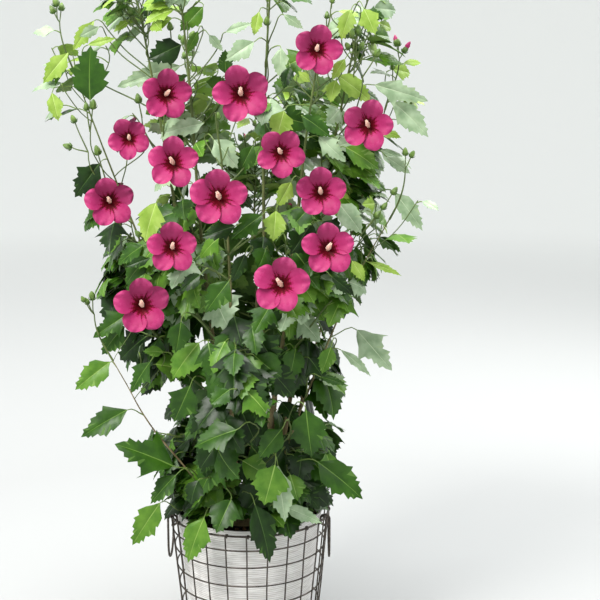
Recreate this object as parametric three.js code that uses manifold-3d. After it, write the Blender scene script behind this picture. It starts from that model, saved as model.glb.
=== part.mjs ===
// A hibiscus shrub in a welded wire basket with a reed liner, in millimetres, +Z up.
// The origin is the centre of the basket's underside. -Y is the shrub's front and -X its left.
// A clump of slender stems rises from one woody crown and fans out like a vase. Along each stem
// hang uneven masses of foliage, cut round the stems that run up through them. The basket has a
// drop handle on its left and right, whose hooked ends go over the rim wire, and which swing outwards.
import * as THREE from "three";
import { mergeVertices } from "three/addons/utils/BufferGeometryUtils.js";
import Module from "manifold-3d";

const wasm = await Module();
wasm.setup();

// Room left between pieces that touch.
const GAP = 0.3;
// Facets round the liner and the soil.
const ROUND = 24;
// Points this near are one point.
const MERGE = 1e-3;

const BASKET = {
  rimRadius: 125,
  footRadius: 102,
  height: 223.6,
  uprights: 24,
  wire: 2.4,
  edgeWire: 3.2,
  // Heights between neighbouring hoops, from the rim down. The last hoop is the foot ring.
  hoopSteps: [24, 28, 31, 31, 34, 36],
  floorWires: 4,
};
const LINER = { rimRadius: 115, footRadius: 91, lipHeight: 227, wall: 4, lipRoll: 1.6 };
const SOIL = { depthBelowLip: 9 };
const HANDLE = {
  wire: 3.6,
  sides: 5,
  // The hinge line is the middle of the rim wire, where the two hooks go over it.
  axisRadius: 118.4,
  hookHalfSpan: 38,
  // A hook's bend, the length of its straight inner side, and its middle's place from the hinge line.
  hookRadius: 7,
  hookSide: 3,
  hookOut: 0.8,
  hookUp: -2.5,
  // The hook's free end stops at this turn, short of the handle's leg.
  hookEnd: (285 / 180) * Math.PI,
  tailSteps: 4,
  archSteps: 7,
  drop: 75,
  straight: 44,
  gripSteps: 5,
};
const CROWN = { footRadius: 70, topRadius: 62, height: 22, lumps: 0.08, lobes: 5, sides: 14, rings: 3 };

// Each stem leaves its foot on the woody crown and ends at its tip. A bend above 1 arches outwards
// near the tip, and one below 1 spreads early and then grows upright. Foliage gives the height of
// each mass along the stem and its radius.
const STEMS = {
  centre: {
    foot: [6, 4],
    tip: [36, -5, 1030],
    foliage: { upper: [840, 62], tip: [1052, 52] },
  },
  left_centre: {
    foot: [-28, -18],
    tip: [-88, -70, 985],
    foliage: { mid: [625, 82], tip: [1000, 54] },
  },
  left: {
    foot: [-46, 2],
    tip: [-155, -20, 990],
    foliage: { waist: [480, 86], upper: [810, 66], tip: [1005, 54] },
  },
  far_left: {
    foot: [-58, 8],
    tip: [-255, 5, 895],
    bend: 1.25,
    foliage: { skirt: [326, 84], mid: [640, 84], tip: [915, 66] },
  },
  low_left: {
    foot: [-48, -34],
    tip: [-200, -75, 480],
    bend: 0.85,
    foliage: { skirt: [306, 84], tip: [492, 62] },
  },
  front: {
    foot: [-12, -48],
    tip: [-30, -140, 780],
    bend: 0.8,
    foliage: { skirt: [318, 80], waist: [470, 98], tip: [795, 68] },
  },
  right_centre: {
    foot: [18, -22],
    tip: [106, -75, 925],
    bend: 1.1,
    foliage: { mid: [635, 82], tip: [945, 56] },
  },
  right: {
    foot: [38, 2],
    tip: [165, 0, 965],
    bend: 1.1,
    foliage: { waist: [474, 84], upper: [795, 64], tip: [980, 54] },
  },
  far_right: {
    foot: [52, 14],
    tip: [210, 30, 850],
    bend: 1.1,
    foliage: { skirt: [326, 84], mid: [610, 76], tip: [865, 62] },
  },
  low_right: {
    foot: [42, -32],
    tip: [213, -50, 690],
    bend: 1.5,
    foliage: { skirt: [306, 82], tip: [705, 60] },
  },
  back_left: {
    foot: [-28, 36],
    tip: [-100, 160, 880],
    bend: 0.9,
    foliage: { skirt: [326, 88], mid: [630, 86], tip: [885, 72] },
  },
  back_right: {
    foot: [24, 38],
    tip: [95, 155, 870],
    bend: 0.9,
    foliage: { skirt: [326, 88], mid: [625, 86], tip: [872, 72] },
  },
  back: {
    foot: [-2, 52],
    tip: [5, 185, 750],
    bend: 0.8,
    foliage: { waist: [475, 102], tip: [765, 76] },
  },
};
const STEM = {
  footRadius: 4.2,
  tipRadius: 1.4,
  taper: 1.2,
  sides: 5,
  segments: 6,
  // How far a stem strays from its arch, and how fast it does so across and along.
  sway: 6,
  swayAcross: 5,
  swayAlong: 4,
  // No ring is stretched further than on a limb that leans this much from the level.
  steepest: 0.3,
};
// How each tier of masses sits on its stem: how far out, as a share of its radius, and how tall.
const TIERS = {
  skirt: { push: 0.4, tall: 0.95 },
  waist: { push: 0.42, tall: 1.0 },
  mid: { push: 0.4, tall: 1.1 },
  upper: { push: 0.3, tall: 1.25 },
  tip: { push: 0.1, tall: 1.4 },
};
// Lumps stand out from a mass by this share of its radius. Masses stay apart, and above the
// liner's lip, by the two clearances.
const FOLIAGE = {
  lumps: 0.42,
  lumpCount: 11,
  sharpness: 8,
  apart: 0.6,
  aboveLip: 8,
  firstSeed: 71,
  seedStep: 13,
};

const MATERIALS = {
  wire: new THREE.MeshStandardMaterial({ color: 0x4a4642, roughness: 0.5, metalness: 0.7 }),
  liner: new THREE.MeshStandardMaterial({ color: 0xd9d5cf, roughness: 0.85 }),
  soil: new THREE.MeshStandardMaterial({ color: 0x2e1f16, roughness: 0.95 }),
  bark: new THREE.MeshStandardMaterial({ color: 0x8a7a58, roughness: 0.8 }),
  foliage: new THREE.MeshStandardMaterial({ color: 0x4c7a32, roughness: 0.55 }),
};

const group = new THREE.Group();

function add(name, geometry, material) {
  const mesh = new THREE.Mesh(geometry, material);
  mesh.name = name;
  group.add(mesh);
  return mesh;
}

// Seeded numbers from 0 to 1, so that every build gives the same shrub.
function seeded(seed) {
  let state = seed >>> 0;
  return () => {
    state = (state + 0x6d2b79f5) >>> 0;
    let mixed = Math.imul(state ^ (state >>> 15), 1 | state);
    mixed = (mixed + Math.imul(mixed ^ (mixed >>> 7), 61 | mixed)) ^ mixed;
    return ((mixed ^ (mixed >>> 14)) >>> 0) / 4294967296;
  };
}

function solidOf(geometry) {
  const bare = new THREE.BufferGeometry();
  bare.setAttribute("position", geometry.getAttribute("position"));
  bare.setIndex(geometry.index);
  const merged = mergeVertices(bare, MERGE);
  return new wasm.Manifold(
    new wasm.Mesh({
      numProp: 3,
      vertProperties: merged.attributes.position.array,
      triVerts: new Uint32Array(merged.index.array),
    }),
  );
}

function geometryOf(solid) {
  const mesh = solid.getMesh();
  const geometry = new THREE.BufferGeometry();
  geometry.setAttribute("position", new THREE.BufferAttribute(new Float32Array(mesh.vertProperties), 3));
  geometry.setIndex(new THREE.BufferAttribute(new Uint32Array(mesh.triVerts), 1));
  geometry.computeVertexNormals();
  return geometry;
}

// A tapering limb with level rings: the centre and radius at each share of its length come from
// two functions, and a leaning ring is stretched so that the limb keeps its thickness.
function limbGeometry(centreAt, radiusAt, segments, sides) {
  const positions = [];
  const step = 1e-3;
  for (let i = 0; i <= segments; i++) {
    const share = i / segments;
    const centre = centreAt(share);
    const ahead = centreAt(Math.min(1, share + step));
    const behind = centreAt(Math.max(0, share - step));
    const lean = new THREE.Vector3().subVectors(ahead, behind).normalize();
    const stretch = 1 / Math.max(STEM.steepest, lean.z) - 1;
    const level = new THREE.Vector2(lean.x, lean.y).normalize();
    for (let k = 0; k < sides; k++) {
      const turn = (2 * Math.PI * k) / sides;
      const out = new THREE.Vector2(Math.cos(turn), Math.sin(turn));
      out.addScaledVector(level, stretch * out.dot(level)).multiplyScalar(radiusAt(share));
      positions.push(centre.x + out.x);
      positions.push(centre.y + out.y);
      positions.push(centre.z);
    }
  }
  return skinned(positions, segments, sides);
}

// A closed skin over rings of points, given one after another from foot to top.
function skinned(positions, segments, sides) {
  const index = [];
  for (let i = 0; i < segments; i++) {
    for (let k = 0; k < sides; k++) {
      const a = i * sides + k;
      const b = i * sides + ((k + 1) % sides);
      index.push(a, b, b + sides, a, b + sides, a + sides);
    }
  }
  for (let k = 1; k < sides - 1; k++) {
    const top = segments * sides;
    index.push(0, k + 1, k);
    index.push(top, top + k, top + k + 1);
  }
  const geometry = new THREE.BufferGeometry();
  geometry.setAttribute("position", new THREE.Float32BufferAttribute(positions, 3));
  geometry.setIndex(index);
  geometry.computeVertexNormals();
  return geometry;
}

// A round wire bent along a line of points that starts square to the given way across.
function wireGeometry(points, radius, sides, across) {
  const positions = [];
  points.forEach((point, i) => {
    const before = points[Math.max(0, i - 1)];
    const after = points[Math.min(points.length - 1, i + 1)];
    const ahead = new THREE.Vector3().subVectors(point, before).normalize();
    ahead.add(new THREE.Vector3().subVectors(after, point).normalize()).normalize();
    across.addScaledVector(ahead, -across.dot(ahead)).normalize();
    const up = new THREE.Vector3().crossVectors(ahead, across);
    for (let k = 0; k < sides; k++) {
      const turn = (2 * Math.PI * k) / sides;
      const corner = point.clone();
      corner.addScaledVector(across, radius * Math.cos(turn));
      corner.addScaledVector(up, radius * Math.sin(turn));
      positions.push(...corner.toArray());
    }
  });
  return skinned(positions, points.length - 1, sides);
}

// The basket's side: a cone-shaped grille of uprights and hoops welded into one lattice.
function basketRadius(z) {
  return BASKET.footRadius + ((BASKET.rimRadius - BASKET.footRadius) * z) / BASKET.height;
}

function hoopHeights() {
  const rim = BASKET.height - BASKET.edgeWire / 2;
  const heights = [rim];
  for (const down of BASKET.hoopSteps) heights.push(heights[heights.length - 1] - down);
  heights.push(BASKET.edgeWire / 2);
  return heights.reverse();
}

function latticeGeometry() {
  const heights = hoopHeights();
  const levels = heights.flatMap((z, row) => {
    const atEdge = row === 0 || row === heights.length - 1;
    const half = (atEdge ? BASKET.edgeWire : BASKET.wire) / 2;
    return [z - half, z + half];
  });
  const turns = [];
  for (let k = 0; k < BASKET.uprights; k++) {
    const middle = (2 * Math.PI * k) / BASKET.uprights - Math.PI / 2;
    const half = BASKET.wire / 2 / BASKET.rimRadius;
    turns.push(middle - half, middle + half);
  }
  const positions = [];
  const index = [];
  const rows = levels.length;
  const columns = turns.length;
  for (const side of [-1, 1]) {
    for (const z of levels) {
      for (const turn of turns) {
        const radius = basketRadius(z) + (side * BASKET.wire) / 2;
        positions.push(radius * Math.cos(turn), radius * Math.sin(turn), z);
      }
    }
  }
  const corner = (side, row, column) => (side * rows + row) * columns + (column % columns);
  const filled = (row, column) =>
    row >= 0 && row < rows - 1 && (row % 2 === 0 || (column + columns) % 2 === 0);
  const quad = (a, b, c, d) => index.push(a, b, c, a, c, d);
  for (let row = 0; row < rows - 1; row++) {
    for (let column = 0; column < columns; column++) {
      if (!filled(row, column)) continue;
      const at = (side, up, round) => corner(side, row + up, column + round);
      quad(at(1, 0, 0), at(1, 0, 1), at(1, 1, 1), at(1, 1, 0));
      quad(at(0, 0, 0), at(0, 1, 0), at(0, 1, 1), at(0, 0, 1));
      if (!filled(row - 1, column)) quad(at(0, 0, 0), at(0, 0, 1), at(1, 0, 1), at(1, 0, 0));
      if (!filled(row + 1, column)) quad(at(0, 1, 0), at(1, 1, 0), at(1, 1, 1), at(0, 1, 1));
      if (!filled(row, column - 1)) quad(at(0, 0, 0), at(1, 0, 0), at(1, 1, 0), at(0, 1, 0));
      if (!filled(row, column + 1)) quad(at(0, 0, 1), at(0, 1, 1), at(1, 1, 1), at(1, 0, 1));
    }
  }
  const geometry = new THREE.BufferGeometry();
  geometry.setAttribute("position", new THREE.Float32BufferAttribute(positions, 3));
  geometry.setIndex(index);
  geometry.computeVertexNormals();
  return geometry;
}

// The basket's floor: straight wires that cross under the liner, inside the foot ring.
function floorGeometry() {
  const inside = (basketRadius(0) - BASKET.wire / 2) * Math.cos(Math.PI / BASKET.uprights);
  const reach = inside - GAP;
  let floor = null;
  for (let k = 0; k < BASKET.floorWires; k++) {
    const wire = new THREE.BoxGeometry(2 * reach, BASKET.edgeWire, BASKET.edgeWire);
    wire.translate(0, 0, BASKET.edgeWire / 2);
    wire.rotateZ((Math.PI * (k + 0.5)) / BASKET.floorWires);
    const solid = solidOf(wire);
    floor = floor ? floor.add(solid) : solid;
  }
  return geometryOf(floor);
}

function turned(profile) {
  const geometry = new THREE.LatheGeometry(
    profile.map(([radius, z]) => new THREE.Vector2(radius, z)),
    ROUND,
  );
  geometry.rotateX(Math.PI / 2);
  return geometry;
}

function linerRadius(z) {
  const foot = BASKET.edgeWire + GAP;
  const rise = (z - foot) / (LINER.lipHeight - foot);
  return LINER.footRadius + (LINER.rimRadius - LINER.footRadius) * rise;
}

function linerGeometry() {
  const foot = BASKET.edgeWire + GAP;
  const lip = LINER.lipHeight;
  const inside = foot + LINER.wall;
  const roll = LINER.lipRoll;
  return turned([
    [0, foot],
    [linerRadius(foot), foot],
    [linerRadius(lip - 2 * roll), lip - 2 * roll],
    [linerRadius(lip) + roll, lip - roll],
    [linerRadius(lip) + roll, lip],
    [linerRadius(lip) - LINER.wall, lip],
    [linerRadius(inside) - LINER.wall, inside],
    [0, inside],
  ]);
}

function soilGeometry() {
  const foot = BASKET.edgeWire + GAP + LINER.wall + GAP;
  const wall = LINER.wall + GAP;
  return turned([
    [0, foot],
    [linerRadius(foot) - wall, foot],
    [linerRadius(soilTop()) - wall, soilTop()],
    [0, soilTop()],
  ]);
}

function soilTop() {
  return LINER.lipHeight - SOIL.depthBelowLip;
}

// The woody crown that all stems share: a low, lumpy stump with a flat cut on the soil.
function crownGeometry(room = 0) {
  const foot = soilTop() + GAP;
  const flare = CROWN.footRadius - CROWN.topRadius;
  const centreAt = (share) => new THREE.Vector3(0, 0, foot + (CROWN.height + room) * share);
  const radiusAt = (share) => CROWN.topRadius + room + flare * (1 - share) ** 2;
  const geometry = limbGeometry(centreAt, radiusAt, CROWN.rings, CROWN.sides);
  const place = geometry.getAttribute("position");
  for (let i = 0; i < place.count; i++) {
    const turn = Math.atan2(place.getY(i), place.getX(i));
    const swell = 1 + CROWN.lumps * Math.sin(CROWN.lobes * turn) * Math.sin(2 * turn);
    place.setX(i, place.getX(i) * swell);
    place.setY(i, place.getY(i) * swell);
  }
  return geometry;
}

function crownTop() {
  return soilTop() + GAP + CROWN.height;
}

// A stem's line: its foot and tip, joined by an arch with a slight sway.
function stemCentre(stem, order) {
  const [footX, footY] = stem.foot;
  const [tipX, tipY, tipZ] = stem.tip;
  const foot = crownTop() + GAP;
  return (share) => {
    const spread = share ** (stem.bend ?? 1);
    const sway = STEM.sway * Math.sin(Math.PI * share);
    return new THREE.Vector3(
      footX + (tipX - footX) * spread + sway * Math.sin(STEM.swayAcross * share + 2 * order),
      footY + (tipY - footY) * spread + sway * Math.cos(STEM.swayAlong * share + 3 * order),
      foot + (tipZ - foot) * share,
    );
  };
}

function stemRadius(extra = 0) {
  return (share) => extra + STEM.tipRadius + (STEM.footRadius - STEM.tipRadius) * (1 - share) ** STEM.taper;
}

function shareAtHeight(stem, z) {
  const foot = crownTop() + GAP;
  return (z - foot) / (stem.tip[2] - foot);
}

// Where each mass of foliage lies: on its stem, pushed outwards from the shrub's middle.
function foliagePlaces() {
  const places = [];
  Object.entries(STEMS).forEach(([name, stem], order) => {
    const centreAt = stemCentre(stem, order);
    for (const [tier, [height, radius]] of Object.entries(stem.foliage)) {
      const centre = centreAt(Math.min(1, shareAtHeight(stem, height)));
      const outward = new THREE.Vector3(centre.x, centre.y, 0).normalize();
      centre.addScaledVector(outward, TIERS[tier].push * radius).setZ(height);
      places.push({ name: `foliage_${name}_${tier}`, centre, radius, tier });
    }
  });
  return places;
}

// One mass: a tall ball with seeded lumps, flattened where it meets its neighbours and the pot.
function foliageGeometry(place, places, seed) {
  const random = seeded(seed);
  const lumps = [];
  for (let i = 0; i < FOLIAGE.lumpCount; i++) {
    const up = 2 * random() - 1;
    const turn = 2 * Math.PI * random();
    const level = Math.sqrt(1 - up * up);
    lumps.push(new THREE.Vector3(level * Math.cos(turn), level * Math.sin(turn), up));
  }
  const walls = places
    .filter((other) => other !== place)
    .map((other) => {
      const towards = new THREE.Vector3().subVectors(other.centre, place.centre);
      const distance = towards.length();
      const share = place.radius / (place.radius + other.radius);
      return { towards: towards.normalize(), reach: distance * share - FOLIAGE.apart / 2 };
    });
  const floor = LINER.lipHeight + FOLIAGE.aboveLip;
  walls.push({ towards: new THREE.Vector3(0, 0, -1), reach: place.centre.z - floor });
  const tall = TIERS[place.tier].tall;
  const ball = mergeVertices(bareBall(place.tier), MERGE);
  const points = ball.getAttribute("position");
  for (let i = 0; i < points.count; i++) {
    const way = new THREE.Vector3().fromBufferAttribute(points, i).normalize();
    const swell = Math.max(...lumps.map((lump) => Math.max(0, way.dot(lump)) ** FOLIAGE.sharpness));
    const oval = tall / Math.hypot(way.z, tall * Math.hypot(way.x, way.y));
    let reach = place.radius * oval * (1 - FOLIAGE.lumps / 2 + FOLIAGE.lumps * swell);
    for (const wall of walls) {
      const facing = way.dot(wall.towards);
      if (facing > 1e-6) reach = Math.min(reach, wall.reach / facing);
    }
    points.setXYZ(i, ...way.multiplyScalar(reach).add(place.centre).toArray());
  }
  return ball;
}

// The upper masses are small enough for a coarser ball.
function bareBall(tier) {
  const small = tier === "tip" || tier === "upper";
  const geometry = small ? new THREE.IcosahedronGeometry(1, 1) : new THREE.OctahedronGeometry(1, 3);
  geometry.deleteAttribute("normal");
  geometry.deleteAttribute("uv");
  return geometry;
}

// A mass with room cut for every limb that runs through it. Slivers that come off are dropped.
function cutRoundLimbs(geometry, limbRooms) {
  let mass = solidOf(geometry);
  for (const room of limbRooms) {
    if (mass.intersect(room).volume() > 0) mass = mass.subtract(room);
  }
  const bodies = mass.decompose().sort((a, b) => b.volume() - a.volume());
  return geometryOf(bodies[0]);
}

// Half of a handle's line, from its hook's free end to the middle of the grip. Each point is given
// outwards, along the rim and up from the hinge line.
function handleHalf() {
  const { hookRadius, hookSide, hookOut, hookUp, hookEnd, hookHalfSpan, drop, straight } = HANDLE;
  const points = [];
  for (let i = 0; i <= HANDLE.tailSteps; i++) {
    const turn = hookEnd + (Math.PI - hookEnd) * (i / HANDLE.tailSteps);
    const up = hookUp - hookSide + hookRadius * Math.sin(turn);
    points.push([hookOut + hookRadius * Math.cos(turn), hookHalfSpan, up]);
  }
  for (let i = 0; i <= HANDLE.archSteps; i++) {
    const turn = Math.PI * (1 - i / HANDLE.archSteps);
    const up = hookUp + hookRadius * Math.sin(turn);
    points.push([hookOut + hookRadius * Math.cos(turn), hookHalfSpan, up]);
  }
  for (let i = 0; i <= HANDLE.gripSteps; i++) {
    const turn = (Math.PI / 2) * (i / HANDLE.gripSteps);
    const down = straight + (drop - straight) * Math.sin(turn);
    points.push([hookOut + hookRadius, hookHalfSpan * Math.cos(turn), -down]);
  }
  return points;
}

// A handle is one bent wire: a grip between two legs, each ending in a hook over the rim wire.
function handleGeometry(side) {
  const half = handleHalf();
  const otherHalf = half
    .slice(0, -1)
    .reverse()
    .map(([out, along, up]) => [out, -along, up]);
  const rim = BASKET.height - BASKET.edgeWire / 2;
  const points = [...half, ...otherHalf].map(
    ([out, along, up]) => new THREE.Vector3(side * (HANDLE.axisRadius + out), along, rim + up),
  );
  return wireGeometry(points, HANDLE.wire / 2, HANDLE.sides, new THREE.Vector3(0, 1, 0));
}

add("wire_basket", latticeGeometry(), MATERIALS.wire);
add("basket_floor", floorGeometry(), MATERIALS.wire);
add("reed_liner", linerGeometry(), MATERIALS.liner);
add("soil", soilGeometry(), MATERIALS.soil);
for (const [sideName, side] of [["left", -1], ["right", 1]]) {
  add(`${sideName}_handle`, handleGeometry(side), MATERIALS.wire);
}

add("woody_crown", crownGeometry(), MATERIALS.bark);
const rooms = [solidOf(crownGeometry(FOLIAGE.apart))];
Object.entries(STEMS).forEach(([name, stem], order) => {
  const centreAt = stemCentre(stem, order);
  add(`stem_${name}`, limbGeometry(centreAt, stemRadius(), STEM.segments, STEM.sides), MATERIALS.bark);
  const roomy = limbGeometry(centreAt, stemRadius(2 * GAP), STEM.segments, STEM.sides);
  roomy.translate(0, 0, GAP);
  rooms.push(solidOf(roomy));
});
const places = foliagePlaces();
places.forEach((place, order) => {
  const mass = foliageGeometry(place, places, FOLIAGE.firstSeed + FOLIAGE.seedStep * order);
  add(place.name, cutRoundLimbs(mass, rooms), MATERIALS.foliage);
});

export default group;
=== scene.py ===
"""A flowering hibiscus shrub in a wire basket with a ribbed liner.

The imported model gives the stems, the woody crown, the masses of foliage and the basket. Shoots grow
from the stems into each mass by a seeded rule, and carry leaves, buds and blooms. Lengths are metres.
"""

import math
import random

import bpy
import numpy as np
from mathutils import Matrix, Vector, noise
from mathutils.bvhtree import BVHTree


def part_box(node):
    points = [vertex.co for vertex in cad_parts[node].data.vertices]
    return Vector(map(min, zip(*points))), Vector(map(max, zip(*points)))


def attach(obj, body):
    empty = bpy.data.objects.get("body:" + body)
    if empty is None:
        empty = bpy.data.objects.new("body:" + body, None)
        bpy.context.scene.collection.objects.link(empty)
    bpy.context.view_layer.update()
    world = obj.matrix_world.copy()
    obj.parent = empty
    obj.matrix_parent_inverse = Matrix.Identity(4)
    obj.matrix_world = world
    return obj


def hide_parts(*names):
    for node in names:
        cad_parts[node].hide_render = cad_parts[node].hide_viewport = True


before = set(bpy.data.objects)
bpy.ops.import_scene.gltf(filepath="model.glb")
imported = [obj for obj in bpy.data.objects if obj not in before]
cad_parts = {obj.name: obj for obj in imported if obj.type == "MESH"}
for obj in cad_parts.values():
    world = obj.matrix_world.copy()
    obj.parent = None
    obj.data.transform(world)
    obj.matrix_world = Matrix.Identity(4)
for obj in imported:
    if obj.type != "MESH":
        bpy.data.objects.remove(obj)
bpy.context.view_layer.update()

PLANT_BODY = "shrub_and_basket"
UP = np.array([0.0, 0.0, 1.0])

# The photograph's camera, worked out from the basket's rim: place, downward tilt and pixels of focus.
CAMERA_PLACE = np.array([0.080, -1.905, 0.889])
CAMERA_TILT = math.radians(9.8)
CAMERA_FOCUS = 1250.0
IMAGE_SIDE = 600
SENSOR = 36.0

# The front blooms: pixel across and down in the photograph, place towards the back, diameter, the
# first petal's turn from upright in degrees, and how far the column leans to the right.
FRONT_BLOOMS = {
    "upper_left": (166, 95, -0.080, 0.075, 5, 0.5),
    "upper_centre": (241, 94, -0.110, 0.084, -15, -0.1),
    "top": (317, 50, -0.085, 0.073, 15, 0.1),
    "upper_right": (368, 126, -0.060, 0.077, 15, -0.2),
    "far_left": (129, 139, -0.050, 0.063, -30, 0.0),
    "left_of_centre": (173, 163, -0.130, 0.074, 5, -0.4),
    "centre_right": (281, 153, -0.150, 0.070, -40, -0.4),
    "centre": (219, 198, -0.190, 0.084, 0, -0.2),
    "right": (321, 193, -0.130, 0.075, 0, -0.2),
    "left_edge": (110, 202, -0.060, 0.076, -10, -0.3),
    "middle_left": (172, 248, -0.150, 0.075, 0, 0.2),
    "middle_right": (328, 249, -0.150, 0.078, 0, 0.4),
    "low_left": (142, 306, -0.130, 0.084, -5, -0.1),
    "low_right": (281, 285, -0.185, 0.083, 10, -0.5),
}
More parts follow.
